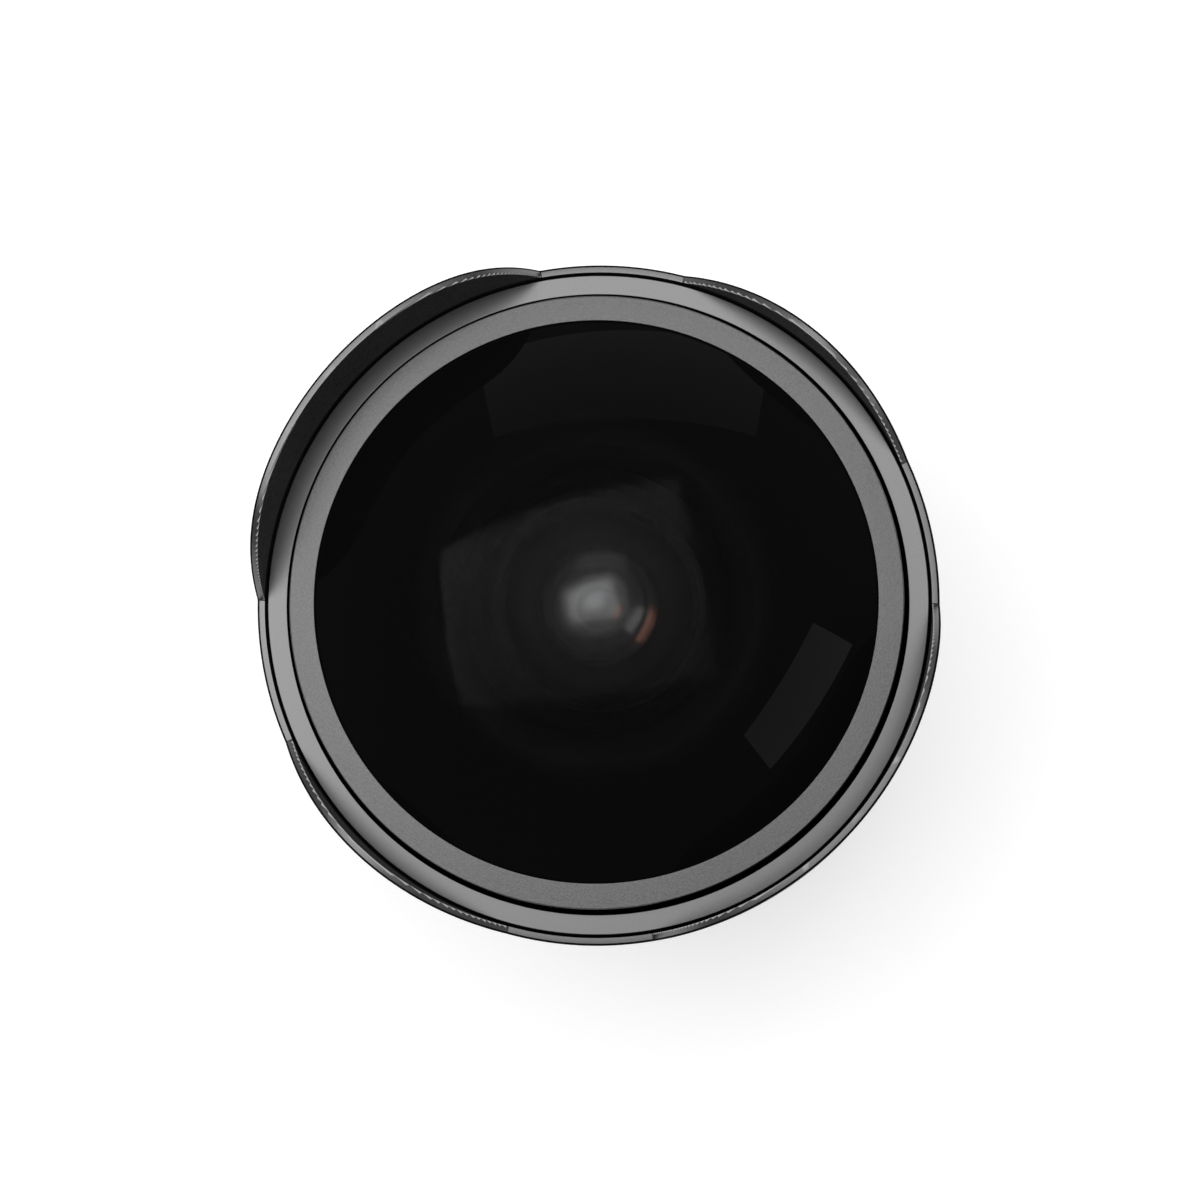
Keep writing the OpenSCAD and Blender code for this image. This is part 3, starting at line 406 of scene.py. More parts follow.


# %% [markdown]
# The section of the wall runs up the outside, over the rounded rim and down the grooved inside. Each groove has a
# level ledge at its foot, and the last ledge under the rim catches the light from above. That makes the bright teeth.
# After the spin, the rows of the rim keep their distance below it, measured square to its slope, and the grooves end
# where the rim cuts them. All of the inside except that last ledge gets the flat lining as a second finish, and the
# outer wall a third. The rounded outer corner of the rim gets the flat black lacquer as painted shade, which draws its
# dark outline.

# %% Spin and trim the hood
hood_in = hood_r - HOOD_WALL
LUG_Z = (55.4, 56.6)
LUG_REACH, LUG_HALF = 0.31, 9
LINING, OUTER_WALL, PAINTED_SHADE_CORNER = 1, 2, 3
section = [(hood_in, hood_low), (hood_r, hood_low, 0.15)]
for i in range(RIM_STEPS + 1):
    tilt = math.radians(90 * i / RIM_STEPS)
    section.append((hood_r - RIM_ROUND * (1 - math.cos(tilt)), petal_top - RIM_FALL - RIM_ROUND * (1 - math.sin(tilt))))
grooves = round((petal_top - GROOVE_LOW) / GROOVE_PITCH)
for i in range(grooves, -1, -1):
    ledge = GROOVE_LOW + i * GROOVE_PITCH
    section += [(hood_in + GROOVE_DEPTH, ledge), (hood_in, ledge - LEDGE_FALL)]
section += [(hood_in, LUG_Z[1]), (hood_in, LUG_Z[0])]
spans = len(columns) - 1
bm = lathe(section, spans, math.pi / 2)


def groove_radius(z):
    """Radius of the grooved wall at a height, which leans in from each ledge to the next."""
    return hood_in + GROOVE_DEPTH * (1 - (z - GROOVE_LOW) / GROOVE_PITCH % 1) * (z > GROOVE_LOW)


for vert in bm.verts:
    radius, z, angle = polar(vert.co)
    angle = columns[round(angle / 90 * spans) % (4 * spans)]
    rim, slope = rim_height(angle)
    if radius > hood_in + GROOVE_DEPTH + 0.05 and z > NOTCH_Z:
        drop, lean = petal_top - z, math.hypot(1, slope)
        angle += math.degrees(drop * slope / lean / hood_r)
        z = rim - drop / lean
    elif z > rim:
        radius, z = groove_radius(rim), rim
    vert.co = Matrix.Rotation(math.radians(angle), 3, "Z") @ Vector((radius, 0, z)) * MM
bmesh.ops.remove_doubles(bm, verts=bm.verts[:], dist=2e-6)
bmesh.ops.dissolve_degenerate(bm, edges=bm.edges[:], dist=1e-6)
bm.normal_update()
for face in bm.faces:
    radius, z, angle = polar(face.calc_center_median())
    last_ledge = abs(face.normal.z) > 0.5 and z > rim_height(angle)[0] - GROOVE_PITCH
    if radius < hood_in + GROOVE_DEPTH + 0.02 and z > LUG_Z[1] and not last_ledge:
        face.material_index = LINING
    elif radius > hood_r - 0.02 and abs(face.normal.z) < 0.1:
        face.material_index = OUTER_WALL
    # the rounded outer corner of the rim: flat black lacquer as painted shade for its dark outline
    elif radius > hood_r - RIM_ROUND and z > NOTCH_Z - 1:
        face.material_index = PAINTED_SHADE_CORNER
for axis in "XY":
    bmesh.ops.mirror(bm, geom=bm.verts[:] + bm.edges[:] + bm.faces[:], matrix=Matrix.Identity(4), merge_dist=2e-6,
                     axis=axis)
bmesh.ops.recalc_face_normals(bm, faces=bm.faces[:])
print("hood:", len(bm.faces), "faces,", sum(edge.is_boundary for edge in bm.edges), "open edges")

# %% [markdown]
# ## Ribs and lugs
# The aperture ring and the rubber grip have ribs for the fingers, and the mount has three lugs. All of these are
# places where a patch of the turned surface is raised: the faces of the patch are extruded, moved outwards, and their
# upper edges bevelled. The spin gets a whole number of columns for each rib, so that every patch ends on a column.


# %% Raising patches of a turned surface
def raise_faces(bm, faces, rise, rounding):
    """Extrudes faces of a turned surface outwards by a rise in mm and rounds the upper edges."""
    raised = bmesh.ops.extrude_face_region(bm, geom=faces, use_keep_orig=False)
    bmesh.ops.delete(bm, geom=[face for face in faces if face.is_valid], context="FACES")
    for item in raised["geom"]:
        if isinstance(item, bmesh.types.BMVert):
            flat = Vector((item.co.x, item.co.y, 0))
            item.co += flat.normalized() * rise * MM
    tops = {item for item in raised["geom"] if isinstance(item, bmesh.types.BMFace)}
    rims = [edge for edge in bm.edges if sum(face in tops for face in edge.link_faces) == 1]
    bmesh.ops.bevel(bm, geom=rims, offset=rounding * MM, offset_type="OFFSET", affect="EDGES", segments=3, profile=0.5,
                    material=-1, clamp_overlap=True)
    bmesh.ops.recalc_face_normals(bm, faces=bm.faces[:])


def rib_faces(bm, radius, low, high, count, columns_each, columns_raised):
    """Outward faces between two heights whose column belongs to a rib."""
    picked = []
    for face in bm.faces:
        r, z, angle = polar(face.calc_center_median())
        column = math.floor(angle * count * columns_each / 360) % columns_each
        if abs(r - radius) < 0.1 and low < z < high and column < columns_raised and abs(face.normal.z) < 0.1:
            picked.append(face)
    return picked


# %% [markdown]
# The hood's own lugs hook under the barrel's front edge. They point inwards, so their patches are raised by a
# negative amount.

# %% Lugs of the hood
lugs = []
for face in bm.faces:
    r, z, angle = polar(face.calc_center_median())
    if r < hood_in + 0.1 and LUG_Z[0] < z < LUG_Z[1] and abs((angle + 30) % 120 - 60) < LUG_HALF:
        lugs.append(face)
raise_faces(bm, lugs, -LUG_REACH, 0.08)
finish_piece(bm, "petal_hood_shell", "petal_hood", "hood_black", [hood_plastic, hood_lining, hood_wall, lacquer_and_painted_shade],
             "hood")

# %% [markdown]
# ## Rings round the front glass
# Inside the hood lie two rings: a smooth satin one that closes the barrel, and a raised matt one that holds the
# glass. Both are plain lathe work with small roundings that catch the light as thin lines. Their tops fall outwards
# by a fraction of a millimetre, which sets how the softbox fades across them. Their upright walls get flat black
# lacquer as painted shade, so the gaps between the rings stay dark lines. The gap between the two is 0.1 mm narrower
# than in the CAD model, as thin as the photo's line.

# %% Trim ring and retainer
def paint_shade_on_walls(bm):
    """Gives the upright walls of a ring its second finish, black lacquer as painted shade that keeps the gaps dark."""
    # upright walls: black lacquer as painted shade, so the gaps beside the ring stay dark
    for face in bm.faces:
        if abs(face.normal.z) < 0.3:
            face.material_index = 1


trim_r, trim_low, trim_high = node_size("trim_ring")
TRIM_IN, TRIM_FALL = 35.05, 0.12
bm = lathe([(TRIM_IN, trim_low), (trim_r, trim_low), (trim_r, trim_high - TRIM_FALL, 0.09), (TRIM_IN, trim_high, 0.1)])
paint_shade_on_walls(bm)
finish_piece(bm, "smooth_trim_ring", "barrel", "black_anodised", [bright_anodised, lacquer_and_painted_shade], "trim_ring")

keep_r, keep_low, keep_high = node_size("front_retainer")
keep_out = keep_r + 0.05
KEEP_IN, KEEP_FALL, KEEP_LIP = 31.58, 0.3, 0.25
GLASS_SEAT_R, THREAD_R = 32.3, 33.48
seat_low, seat_high = keep_high - 1.75, keep_high - 0.61
bm = lathe([(THREAD_R, keep_low), (keep_out, keep_low), (keep_out, keep_high - KEEP_FALL, 0.16),
            (KEEP_IN, keep_high, 0.1), (KEEP_IN, keep_high - KEEP_LIP), (GLASS_SEAT_R, seat_high),
            (GLASS_SEAT_R, seat_low), (THREAD_R, seat_low)])
paint_shade_on_walls(bm)
finish_piece(bm, "glass_retainer", "optics", "matt_black", [matt_anodised, lacquer_and_painted_shade], "front_retainer")

# %% [markdown]
# ## The glasses
# A lens element is a solid of revolution whose faces are parts of spheres. Its section is an arc for each polished
# face, joined by the ground edge. The edge and the flat rim behind the front glass are lacquered black on the real
# thing, so that no light strays there, and those faces get the lacquer as a second finish.


# %% Lens elements
def sag(curve, radius):
    """Depth of a spherical face of the given curvature radius, at a radius from its pole."""
    return curve - math.copysign(math.sqrt(curve * curve - radius * radius), curve)


def face_points(pole, curve, radius, count):
    """Points of a polished face from its pole to its edge. A positive curve drops away from the front."""
    return [(radius * i / count, pole - sag(curve, radius * i / count)) for i in range(count + 1)]


def element(name, node, front, back, radii, finish, steps=96, rows=20):
    """A glass: front and back are (pole height, curvature radius), radii the edge radius of each face."""
    top, bottom = face_points(*front, radii[0], rows), face_points(*back, radii[1], rows)
    edge_r = node_size(node)[0]
    section = list(top)
    if edge_r - radii[0] > 0.01:
        section.append((edge_r, top[-1][1]))
    section.append((edge_r, bottom[-1][1]))
    section += bottom[::-1] if edge_r - radii[1] > 0.01 else bottom[-2::-1]
    bm = lathe(section, steps)
    for face in bm.faces:
        radius = polar(face.calc_center_median())[0]
        ground_edge = radius > min(radii[1], edge_r - 0.02) and abs(face.normal.z) < 0.05
        flat_rim = radius > radii[1] and face.normal.z < -0.99
        if ground_edge or flat_rim:
            face.material_index = 1
    return finish_piece(bm, name, "optics", "coated_glass", [finish, lacquer_and_painted_shade], node)


dome_r, _, dome_top = node_size("front_element")
dome = element("domed_front_glass", "front_element", (dome_top, 64), (dome_top - 2.5, 17.5), (dome_r, 16.5),
               front_glass, steps=192, rows=40)
second_r, _, second_top = node_size("second_element")
element("second_glass", "second_element", (second_top, 26), (second_top - 1.5, 11), (second_r, 9.5), second_coat)
third_r, _, third_top = node_size("third_element")
third_pole = third_top - sag(40, third_r)
element("third_glass", "third_element", (third_pole, -40), (third_pole - 1.4, 15), (third_r, third_r), third_coat)
fourth_r, fourth_low, fourth_top = node_size("fourth_element")
element("fourth_glass", "fourth_element", (fourth_top, 22), (fourth_low, -22), (fourth_r, fourth_r), rear_glass)
pair_r, pair_low, pair_top = node_size("doublet_front")
element("pair_front_glass", "doublet_front", (pair_top, 20), (pair_low, -20), (pair_r, pair_r), rear_glass)
pair_end = node_size("doublet_rear")[1]
element("pair_rear_glass", "doublet_rear", (pair_low - 0.03, -20), (pair_end, -60), (pair_r, pair_r), rear_glass)
rear_r, rear_low, rear_top = node_size("rear_element")
element("rear_glass", "rear_element", (rear_top, 30), (rear_low, -40), (rear_r, rear_r), rear_glass)

# %% [markdown]
# ## Fixed shells of the barrel
# The shells behind the hood are turned too: the front barrel that carries the hood, the scale ring with the marks,
# and the conical rear shell. Each keeps the CAD section, with rounded edges where the eye falls on them. What lies
# under the hood gets black lacquer as painted shade, because a shiny floor would light up the narrow gaps between
# the front rings.

# %% Front barrel and scale ring
barrel_r, barrel_low, barrel_high = node_size("front_barrel")
SEAT_R = 37.59
LUG_GROOVE_R, LUG_GROOVE_LOW, LUG_GROOVE_HIGH = 37.25, 55.1, 56.9
FLANGE_BORE, FLANGE_T = 24.3, 2.2
shoulder, flange_top = hood_low - 0.3, barrel_low + FLANGE_T
bm = lathe([(FLANGE_BORE, barrel_low), (barrel_r, barrel_low, 0.4), (barrel_r, shoulder, 0.25), (SEAT_R, shoulder),
            (SEAT_R, LUG_GROOVE_LOW), (LUG_GROOVE_R, LUG_GROOVE_LOW), (LUG_GROOVE_R, LUG_GROOVE_HIGH),
            (SEAT_R, LUG_GROOVE_HIGH), (SEAT_R, barrel_high), (TRIM_IN, barrel_high), (TRIM_IN, flange_top),
            (FLANGE_BORE, flange_top)])
# everything under the hood: black lacquer as painted shade, which keeps the gaps between the front rings dark
for face in bm.faces:
    r, z, _ = polar(face.calc_center_median())
    if r < SEAT_R + 0.05 and z > barrel_low + 1:
        face.material_index = 1
finish_piece(bm, "front_shell", "barrel", "black_anodised", [anodised, lacquer_and_painted_shade], "front_barrel")

scale_r, scale_low, scale_high = node_size("scale_ring")
SCALE_BORE, LIP_R = 32.03, 29.5
lip_low, lip_high = scale_low + 2, scale_low + 3.8
bm = lathe([(SCALE_BORE, scale_low), (scale_r, scale_low, 0.35), (scale_r, scale_high, 0.35), (SCALE_BORE, scale_high),
            (SCALE_BORE, lip_high), (LIP_R, lip_high), (LIP_R, lip_low), (SCALE_BORE, lip_low)])
finish_piece(bm, "fixed_scale_ring", "barrel", "black_anodised", [anodised], "scale_ring")

# %% [markdown]
# ## Cuts that a lathe can't make
# The rear shell carries the journal on which the aperture ring turns. A ball in a hole of the journal clicks into
# seven dimples inside the ring, and a bar reaches from the ring to the iris through a long slot. None of these run
# round the axis. Real ones are drilled and milled after the turning, and a Boolean does the same here: it takes
# closed shapes away from another.


# %% Drilling
def drill(bm, *cutters):
    """Takes closed shapes away from a piece and returns what is left."""
    carriers = []
    for shape in (bm, *cutters):
        mesh = bpy.data.meshes.new("drilling")
        shape.to_mesh(mesh)
        shape.free()
        carriers.append(bpy.data.objects.new("drilling", mesh))
        bpy.context.collection.objects.link(carriers[-1])
    for cutter in carriers[1:]:
        cut = carriers[0].modifiers.new("cut", "BOOLEAN")
        cut.operation, cut.solver, cut.object = "DIFFERENCE", "EXACT", cutter
    mesh = bpy.data.meshes.new_from_object(carriers[0].evaluated_get(bpy.context.evaluated_depsgraph_get()))
    drilled = bmesh.new()
    drilled.from_mesh(mesh)
    for spent in [mesh] + [carrier.data for carrier in carriers]:
        bpy.data.meshes.remove(spent)
    return drilled


# %% [markdown]
# The boxes of the ball and the bar in the CAD model say where to cut. The slot reaches a little further round than
# the bar travels, and the hole ends before the bore.

# %% Rear shell with its journal
shell_r, shell_low, journal_high = node_size("rear_housing")
flange_r, mount_low, flange_high = node_size("bayonet_mount")
SHELL_BORE, SHELL_TOP, SHELL_BAND = 23, 5.7, 0.8
JOURNAL_IN, JOURNAL_OUT = 28, 32
HOLE_MIDDLE, HOLE_DEPTH = 30.3, 3.6
SLOT_START, SLOT_TURN, SLOT_ROOM = -8, 64, 0.3
ball_low, ball_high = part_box("click_ball")
ball_z, ball_hole = (ball_low[2] + ball_high[2]) / 2, (ball_high[2] - ball_low[2]) / 2 + 0.05 * MM
key_low, key_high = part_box("aperture_key")
slot_low, slot_high = key_low[2] / MM - SLOT_ROOM, key_high[2] / MM + SLOT_ROOM
slot_in, slot_out = JOURNAL_IN - 0.1, JOURNAL_OUT + 0.1
hole = bmesh.new()
bmesh.ops.create_cone(hole, cap_ends=True, segments=32, radius1=ball_hole, radius2=ball_hole, depth=HOLE_DEPTH * MM,
                      matrix=Matrix.Translation((-HOLE_MIDDLE * MM, 0, ball_z)) @ Matrix.Rotation(math.pi / 2, 4, "Y"))
slot = lathe([(slot_in, slot_low), (slot_out, slot_low), (slot_out, slot_high), (slot_in, slot_high)], 48,
             math.radians(SLOT_TURN))
bmesh.ops.holes_fill(slot, edges=[edge for edge in slot.edges if edge.is_boundary])
bmesh.ops.rotate(slot, verts=slot.verts[:], cent=(0, 0, 0), matrix=Matrix.Rotation(math.radians(SLOT_START), 3, "Z"))
bmesh.ops.recalc_face_normals(slot, faces=slot.faces[:])
bm = lathe([(SHELL_BORE, shell_low), (flange_r, shell_low, 0.15), (shell_r, SHELL_TOP - SHELL_BAND, 0.5),
            (shell_r, SHELL_TOP, 0.2), (JOURNAL_OUT, SHELL_TOP), (JOURNAL_OUT, journal_high),
            (JOURNAL_IN, journal_high), (JOURNAL_IN, SHELL_TOP), (SHELL_BORE, SHELL_TOP)])
bm = drill(bm, hole, slot)
finish_piece(bm, "conical_rear_shell", "barrel", "black_anodised", [anodised], "rear_housing")

# %% [markdown]
# ## Rings that turn
# The aperture ring has sixty short ribs for the fingers and a plain band for its numbers. It clicks at every stop, so
# its inside has one dimple for each, and a seat for the bar that takes its turn to the iris.

# %% Aperture ring
STOPS = ["2.8", "4", "5.6", "8", "11", "16", "22"]
CLICK_TURN = 8
APERTURE_BORE, DIMPLE_R = 32.05, 31.3
APERTURE_RIBS, RIB_COLUMNS, RIB_RAISED = 60, 6, 3
aperture_r, aperture_low, aperture_high = node_size("aperture_ring")
RIB_FLOOR = aperture_r - 0.7
RIB_Z = (aperture_low + 0.4, aperture_low + 4.5)
band_low = aperture_low + 4.9
bm = lathe([(APERTURE_BORE, aperture_low), (RIB_FLOOR, aperture_low, 0.2), (RIB_FLOOR, RIB_Z[0]), (RIB_FLOOR, RIB_Z[1]),
            (RIB_FLOOR, band_low), (aperture_r, band_low, 0.25), (aperture_r, aperture_high, 0.35),
            (APERTURE_BORE, aperture_high)], APERTURE_RIBS * RIB_COLUMNS)
raise_faces(bm, rib_faces(bm, RIB_FLOOR, *RIB_Z, APERTURE_RIBS, RIB_COLUMNS, RIB_RAISED), 0.68, 0.2)
dimples = bmesh.new()
for i in range(len(STOPS)):
    place = Matrix.Rotation(math.radians(180 - CLICK_TURN * i), 4, "Z") @ Matrix.Translation((DIMPLE_R * MM, 0, ball_z))
    bmesh.ops.create_uvsphere(dimples, u_segments=24, v_segments=12, radius=ball_hole, matrix=place)
seat = bmesh.new()
seat_size = key_high - key_low + Vector((1, 1, 1)) * 0.06 * MM
seat_place = Matrix.Translation((key_low + key_high) / 2) @ Matrix.Diagonal(seat_size).to_4x4()
bmesh.ops.create_cube(seat, size=1, matrix=seat_place)
bm = drill(bm, dimples, seat)
finish_piece(bm, "ribbed_aperture_ring", "aperture", "black_anodised", [anodised], "aperture_ring")

# %% [markdown]
# The focus ring is a tube with a web inside that sits on the cam sleeve. Its rubber grip has sixty-four long ribs
# between two smooth bands.

# %% Focus ring and its rubber grip
focus_r, focus_low, focus_high = node_size("focus_ring")
focus_in = focus_r - 2
WEB_R, WEB_LOW, WEB_HIGH = 28.93, 39.5, 42.5
bm = lathe([(focus_in, focus_low), (focus_r, focus_low, 0.35), (focus_r, focus_high, 0.35), (focus_in, focus_high),
            (focus_in, WEB_HIGH), (WEB_R, WEB_HIGH), (WEB_R, WEB_LOW), (focus_in, WEB_LOW)])
finish_piece(bm, "focus_ring_body", "focus", "black_anodised", [anodised], "focus_ring")

grip_r, grip_low, grip_high = node_size("focus_grip")
GRIP_IN, GRIP_FLOOR, GRIP_BAND = focus_r + 0.03, focus_r + 0.35, focus_r + 0.77
GRIP_RIBS, GRIP_COLUMNS, GRIP_RAISED = 64, 8, 5
BAND_WIDTH, RIB_START = 1.2, 1.55
rib_low, rib_high = grip_low + RIB_START, grip_high - RIB_START
bm = lathe([(GRIP_IN, grip_low), (GRIP_BAND, grip_low, 0.3), (GRIP_BAND, grip_low + BAND_WIDTH, 0.25),
            (GRIP_FLOOR, grip_low + BAND_WIDTH), (GRIP_FLOOR, rib_low), (GRIP_FLOOR, rib_high),
            (GRIP_FLOOR, grip_high - BAND_WIDTH), (GRIP_BAND, grip_high - BAND_WIDTH, 0.25),
            (GRIP_BAND, grip_high, 0.3), (GRIP_IN, grip_high)], GRIP_RIBS * GRIP_COLUMNS)
raise_faces(bm, rib_faces(bm, GRIP_FLOOR, rib_low, rib_high, GRIP_RIBS, GRIP_COLUMNS, GRIP_RAISED), grip_r - GRIP_FLOOR,
            0.3)
finish_piece(bm, "rubber_focus_grip", "focus", "rubber", [rubber], "focus_grip")

# %% [markdown]
# ## The bayonet mount
# The mount is chromed brass: a flange, a throat and three lugs that lock behind the camera's own. The lugs are raised
# from the end of the throat. The alignment bead is a small turned dome, laid over to point outwards.

# %% Mount and bead
THROAT_R, THROAT_WALL = 22, 2.6
FACE_R, RELIEF = 29.7, 0.3
MOUNT_LUG_T, MOUNT_LUG_RISE, MOUNT_LUG_HALF = 1.6, 1.9, 28
throat_out, lug_top = THROAT_R + THROAT_WALL, mount_low + MOUNT_LUG_T
bm = lathe([(THROAT_R, mount_low, 0.2), (throat_out, mount_low), (throat_out, lug_top), (throat_out, RELIEF),
            (FACE_R, RELIEF), (FACE_R, 0, 0.1), (flange_r, 0, 0.25), (flange_r, flange_high, 0.15),
            (THROAT_R, flange_high)], 360)
lugs = []
for face in bm.faces:
    r, z, angle = polar(face.calc_center_median())
    outward = abs(r - throat_out) < 0.1 and abs(face.normal.z) < 0.1
    if outward and z < lug_top and abs((angle + 60) % 120 - 60) < MOUNT_LUG_HALF:
        lugs.append(face)
raise_faces(bm, lugs, MOUNT_LUG_RISE, 0.25)
finish_piece(bm, "bayonet_plate", "barrel", "mount_chrome", [chrome], "bayonet_mount")

bead_low, bead_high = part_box("mount_index")
BEAD_R = 1.0
bead_length = (bead_high[1] - bead_low[1]) / MM
bm = lathe([(0, 0), (BEAD_R, 0), (BEAD_R, bead_length, 0.6), (0, bead_length)], 48)
bmesh.ops.rotate(bm, verts=bm.verts[:], cent=(0, 0, 0), matrix=Matrix.Rotation(-math.pi / 2, 3, "X"))
bmesh.ops.translate(bm, verts=bm.verts[:], vec=(0, bead_low[1], (bead_low[2] + bead_high[2]) / 2))
finish_piece(bm, "alignment_bead", "barrel", "index_red", [red_enamel], "mount_index")

# %% [markdown]
# ## Painted scales
# The rings carry scales, engraved and filled with enamel. Each number is a text curve turned into a mesh with a
# little thickness, drawn flat in millimetres and then bent round its ring: x runs along the ring, y towards the front
# and z outwards. All marks of one colour on one ring become a single piece.


# %% Marks that wrap round a ring
def draw_text(bm, text, size):
    """Adds a text to a bmesh, flat and centred, and returns its vertices."""
    curve = bpy.data.curves.new(text, "FONT")
    curve.body, curve.size = text, size
    curve.align_x, curve.align_y = "CENTER", "CENTER"
    curve.extrude, curve.resolution_u = 0.03, 4
    carrier = bpy.data.objects.new(text, curve)
    bpy.context.collection.objects.link(carrier)
    mesh = bpy.data.meshes.new_from_object(carrier.evaluated_get(bpy.context.evaluated_depsgraph_get()))
    old_verts = set(bm.verts)
    bm.from_mesh(mesh)
    bpy.data.objects.remove(carrier)
    bpy.data.curves.remove(curve)
    bpy.data.meshes.remove(mesh)
    return [vert for vert in bm.verts if vert not in old_verts]


def wrap(verts, radius, azimuth, height):
    """Bends a flat drawing in mm round a ring, centred at an angle in degrees and a height."""
    for vert in verts:
        angle = math.radians(azimuth) + vert.co.x / radius
        reach = radius + vert.co.z
        vert.co = Vector((reach * math.cos(angle), reach * math.sin(angle), height + vert.co.y)) * MM


def painted_marks(name, body, slot, finish, radius, texts, strokes=()):
    """Texts are (text, angle, height, size) and strokes (angle, low, high, width), all on one ring."""
    bm = bmesh.new()
    for text, azimuth, height, size in texts:
        # a figure eight laid on its side makes the sign for infinity
        verts = draw_text(bm, text.replace("infinity", "8"), size)
        if text == "infinity":
            bmesh.ops.rotate(bm, verts=verts, cent=(0, 0, 0), matrix=Matrix.Rotation(math.pi / 2, 3, "Z"))
            bmesh.ops.scale(bm, verts=verts, vec=(1.3, 1, 1))
        wrap(verts, radius, azimuth, height)
    for azimuth, low, high, width in strokes:
        made = bmesh.ops.create_cube(bm, size=1, matrix=Matrix.Diagonal((width, high - low, 0.06, 1)))
        wrap(made["verts"], radius, azimuth, (low + high) / 2)
    bmesh.ops.recalc_face_normals(bm, faces=bm.faces[:])
    finish_piece(bm, name, body, slot, [finish])


# %% [markdown]
# The index line of the fixed ring lies in line with the red bead, and the widest aperture stands at it. The aperture
# numbers follow at one click each. To both sides of the line, the fixed ring shows how far the sharp zone reaches at
# an aperture.

# %% Aperture and depth marks
INDEX = 90
TICK_WIDTH, TICK_LENGTH, INDEX_WIDTH = 0.22, 0.6, 0.4
APERTURE_TEXT, DEPTH_TEXT, FOCUS_TEXT = 2.7, 2.2, 2.4
number_z, tick_z = (band_low + aperture_high) / 2 - 0.35, aperture_high - 1.1
stop_angles = [INDEX - CLICK_TURN * i for i in range(len(STOPS))]
painted_marks("aperture_numbers", "aperture", "black_anodised", white_enamel, aperture_r,
              [(stop, angle, number_z, APERTURE_TEXT) for stop, angle in zip(STOPS, stop_angles)],
              [(angle, tick_z, tick_z + TICK_LENGTH, TICK_WIDTH) for angle in stop_angles])

DEPTH = [("4", 12), ("8", 24), ("16", 48), ("22", 66)]
depth_places = [(text, INDEX + side * angle) for text, angle in DEPTH for side in (-1, 1)]
depth_texts = [(text, angle, scale_low + 2.7, DEPTH_TEXT) for text, angle in depth_places]
depth_strokes = [(angle, scale_high - 1.8, scale_high - 0.5, TICK_WIDTH) for _, angle in depth_places]
painted_marks("depth_marks", "barrel", "black_anodised", white_enamel, scale_r, depth_texts,
              depth_strokes + [(INDEX, scale_low + 0.5, scale_high - 0.5, INDEX_WIDTH)])

# %% [markdown]
# The focus ring turns a quarter of a circle, and the lens moves evenly with it. A lens of 12 mm has to move out by
# about 144 divided by the distance in millimetres, so far distances lie close together. Metres are white and feet
# amber.

# %% Focus marks
METRES = [("infinity", 0), ("1", 14.6), ("0.5", 29.5), ("0.3", 50), ("0.25", 60.5), ("0.2", 76.6), ("m", 86)]
FEET = [("infinity", 0), ("3", 16), ("1.5", 32.4), ("1", 49.2), ("0.7", 71.6), ("ft", 86)]
metre_strokes = [(INDEX - angle, focus_low + 0.45, focus_low + 1.05, TICK_WIDTH) for _, angle in METRES[:-1]]
painted_marks("metre_marks", "focus", "black_anodised", white_enamel, focus_r,
              [(text, INDEX - angle, focus_low + 2.3, FOCUS_TEXT) for text, angle in METRES], metre_strokes)
painted_marks("foot_marks", "focus", "black_anodised", amber_enamel, focus_r,
              [(text, INDEX - angle, focus_low + 4.9, FOCUS_TEXT) for text, angle in FEET])

# %% [markdown]
# A line on the hood shows where it is: at the line on the barrel it is locked, and at the square, 30 degrees further,
# it comes off.

# %% Marks of the hood
RELEASE_TURN = 30
MARK_WIDTH, SQUARE = 0.5, 0.8
painted_marks("hood_mark", "petal_hood", "hood_black", white_enamel, hood_r, [],
              [(INDEX, hood_low + 0.5, hood_low + 2.3, MARK_WIDTH)])
painted_marks("hood_lock_marks", "barrel", "black_anodised", white_enamel, barrel_r, [],
              [(INDEX, shoulder - 2.3, shoulder - 0.5, MARK_WIDTH),
               (INDEX + RELEASE_TURN, shoulder - 1.5, shoulder - 0.7, SQUARE)])

# %% [markdown]
# ## Camera
# The photograph looks almost straight down the axis, with the lens turned so that a wide petal lies at the upper
# left. Where rings of different height lie against each other in it gave the camera's lean of 6.4 degrees and its
# distance of about 36 cm. The picture's own sides, across and upward, also serve to place the lights.

# %% Camera
VIEW_TURN = -49.478
LEAN, HEADING, DISTANCE = 6.408, -106.234, 0.355
AIM_ACROSS, AIM_UP = 0.42, 0.22
across = Vector((math.cos(math.radians(VIEW_TURN)), math.sin(math.radians(VIEW_TURN)), 0))
upward = Vector((-across.y, across.x, 0))
target = Vector((0, 0, NOTCH_Z)) * MM
lean, heading = math.radians(LEAN), math.radians(HEADING)
eye = target + DISTANCE * Vector((math.sin(lean) * math.cos(heading), math.sin(lean) * math.sin(heading),
                                  math.cos(lean)))
aim = target + (AIM_ACROSS * across + AIM_UP * upward) * MM
forward = (aim - eye).normalized()
right = forward.cross(upward).normalized()
turn = Matrix((right, right.cross(forward), -forward)).transposed()
camera_data = bpy.data.cameras.new("camera")
camera_data.lens = 94.6
camera_data.sensor_width = 36
camera_data.clip_start = 0.01
camera = bpy.data.objects.new("camera", camera_data)
camera.matrix_world = Matrix.Translation(eye) @ turn.to_4x4()
bpy.context.collection.objects.link(camera)
bpy.context.scene.camera = camera
print("camera at", [round(c, 4) for c in eye])


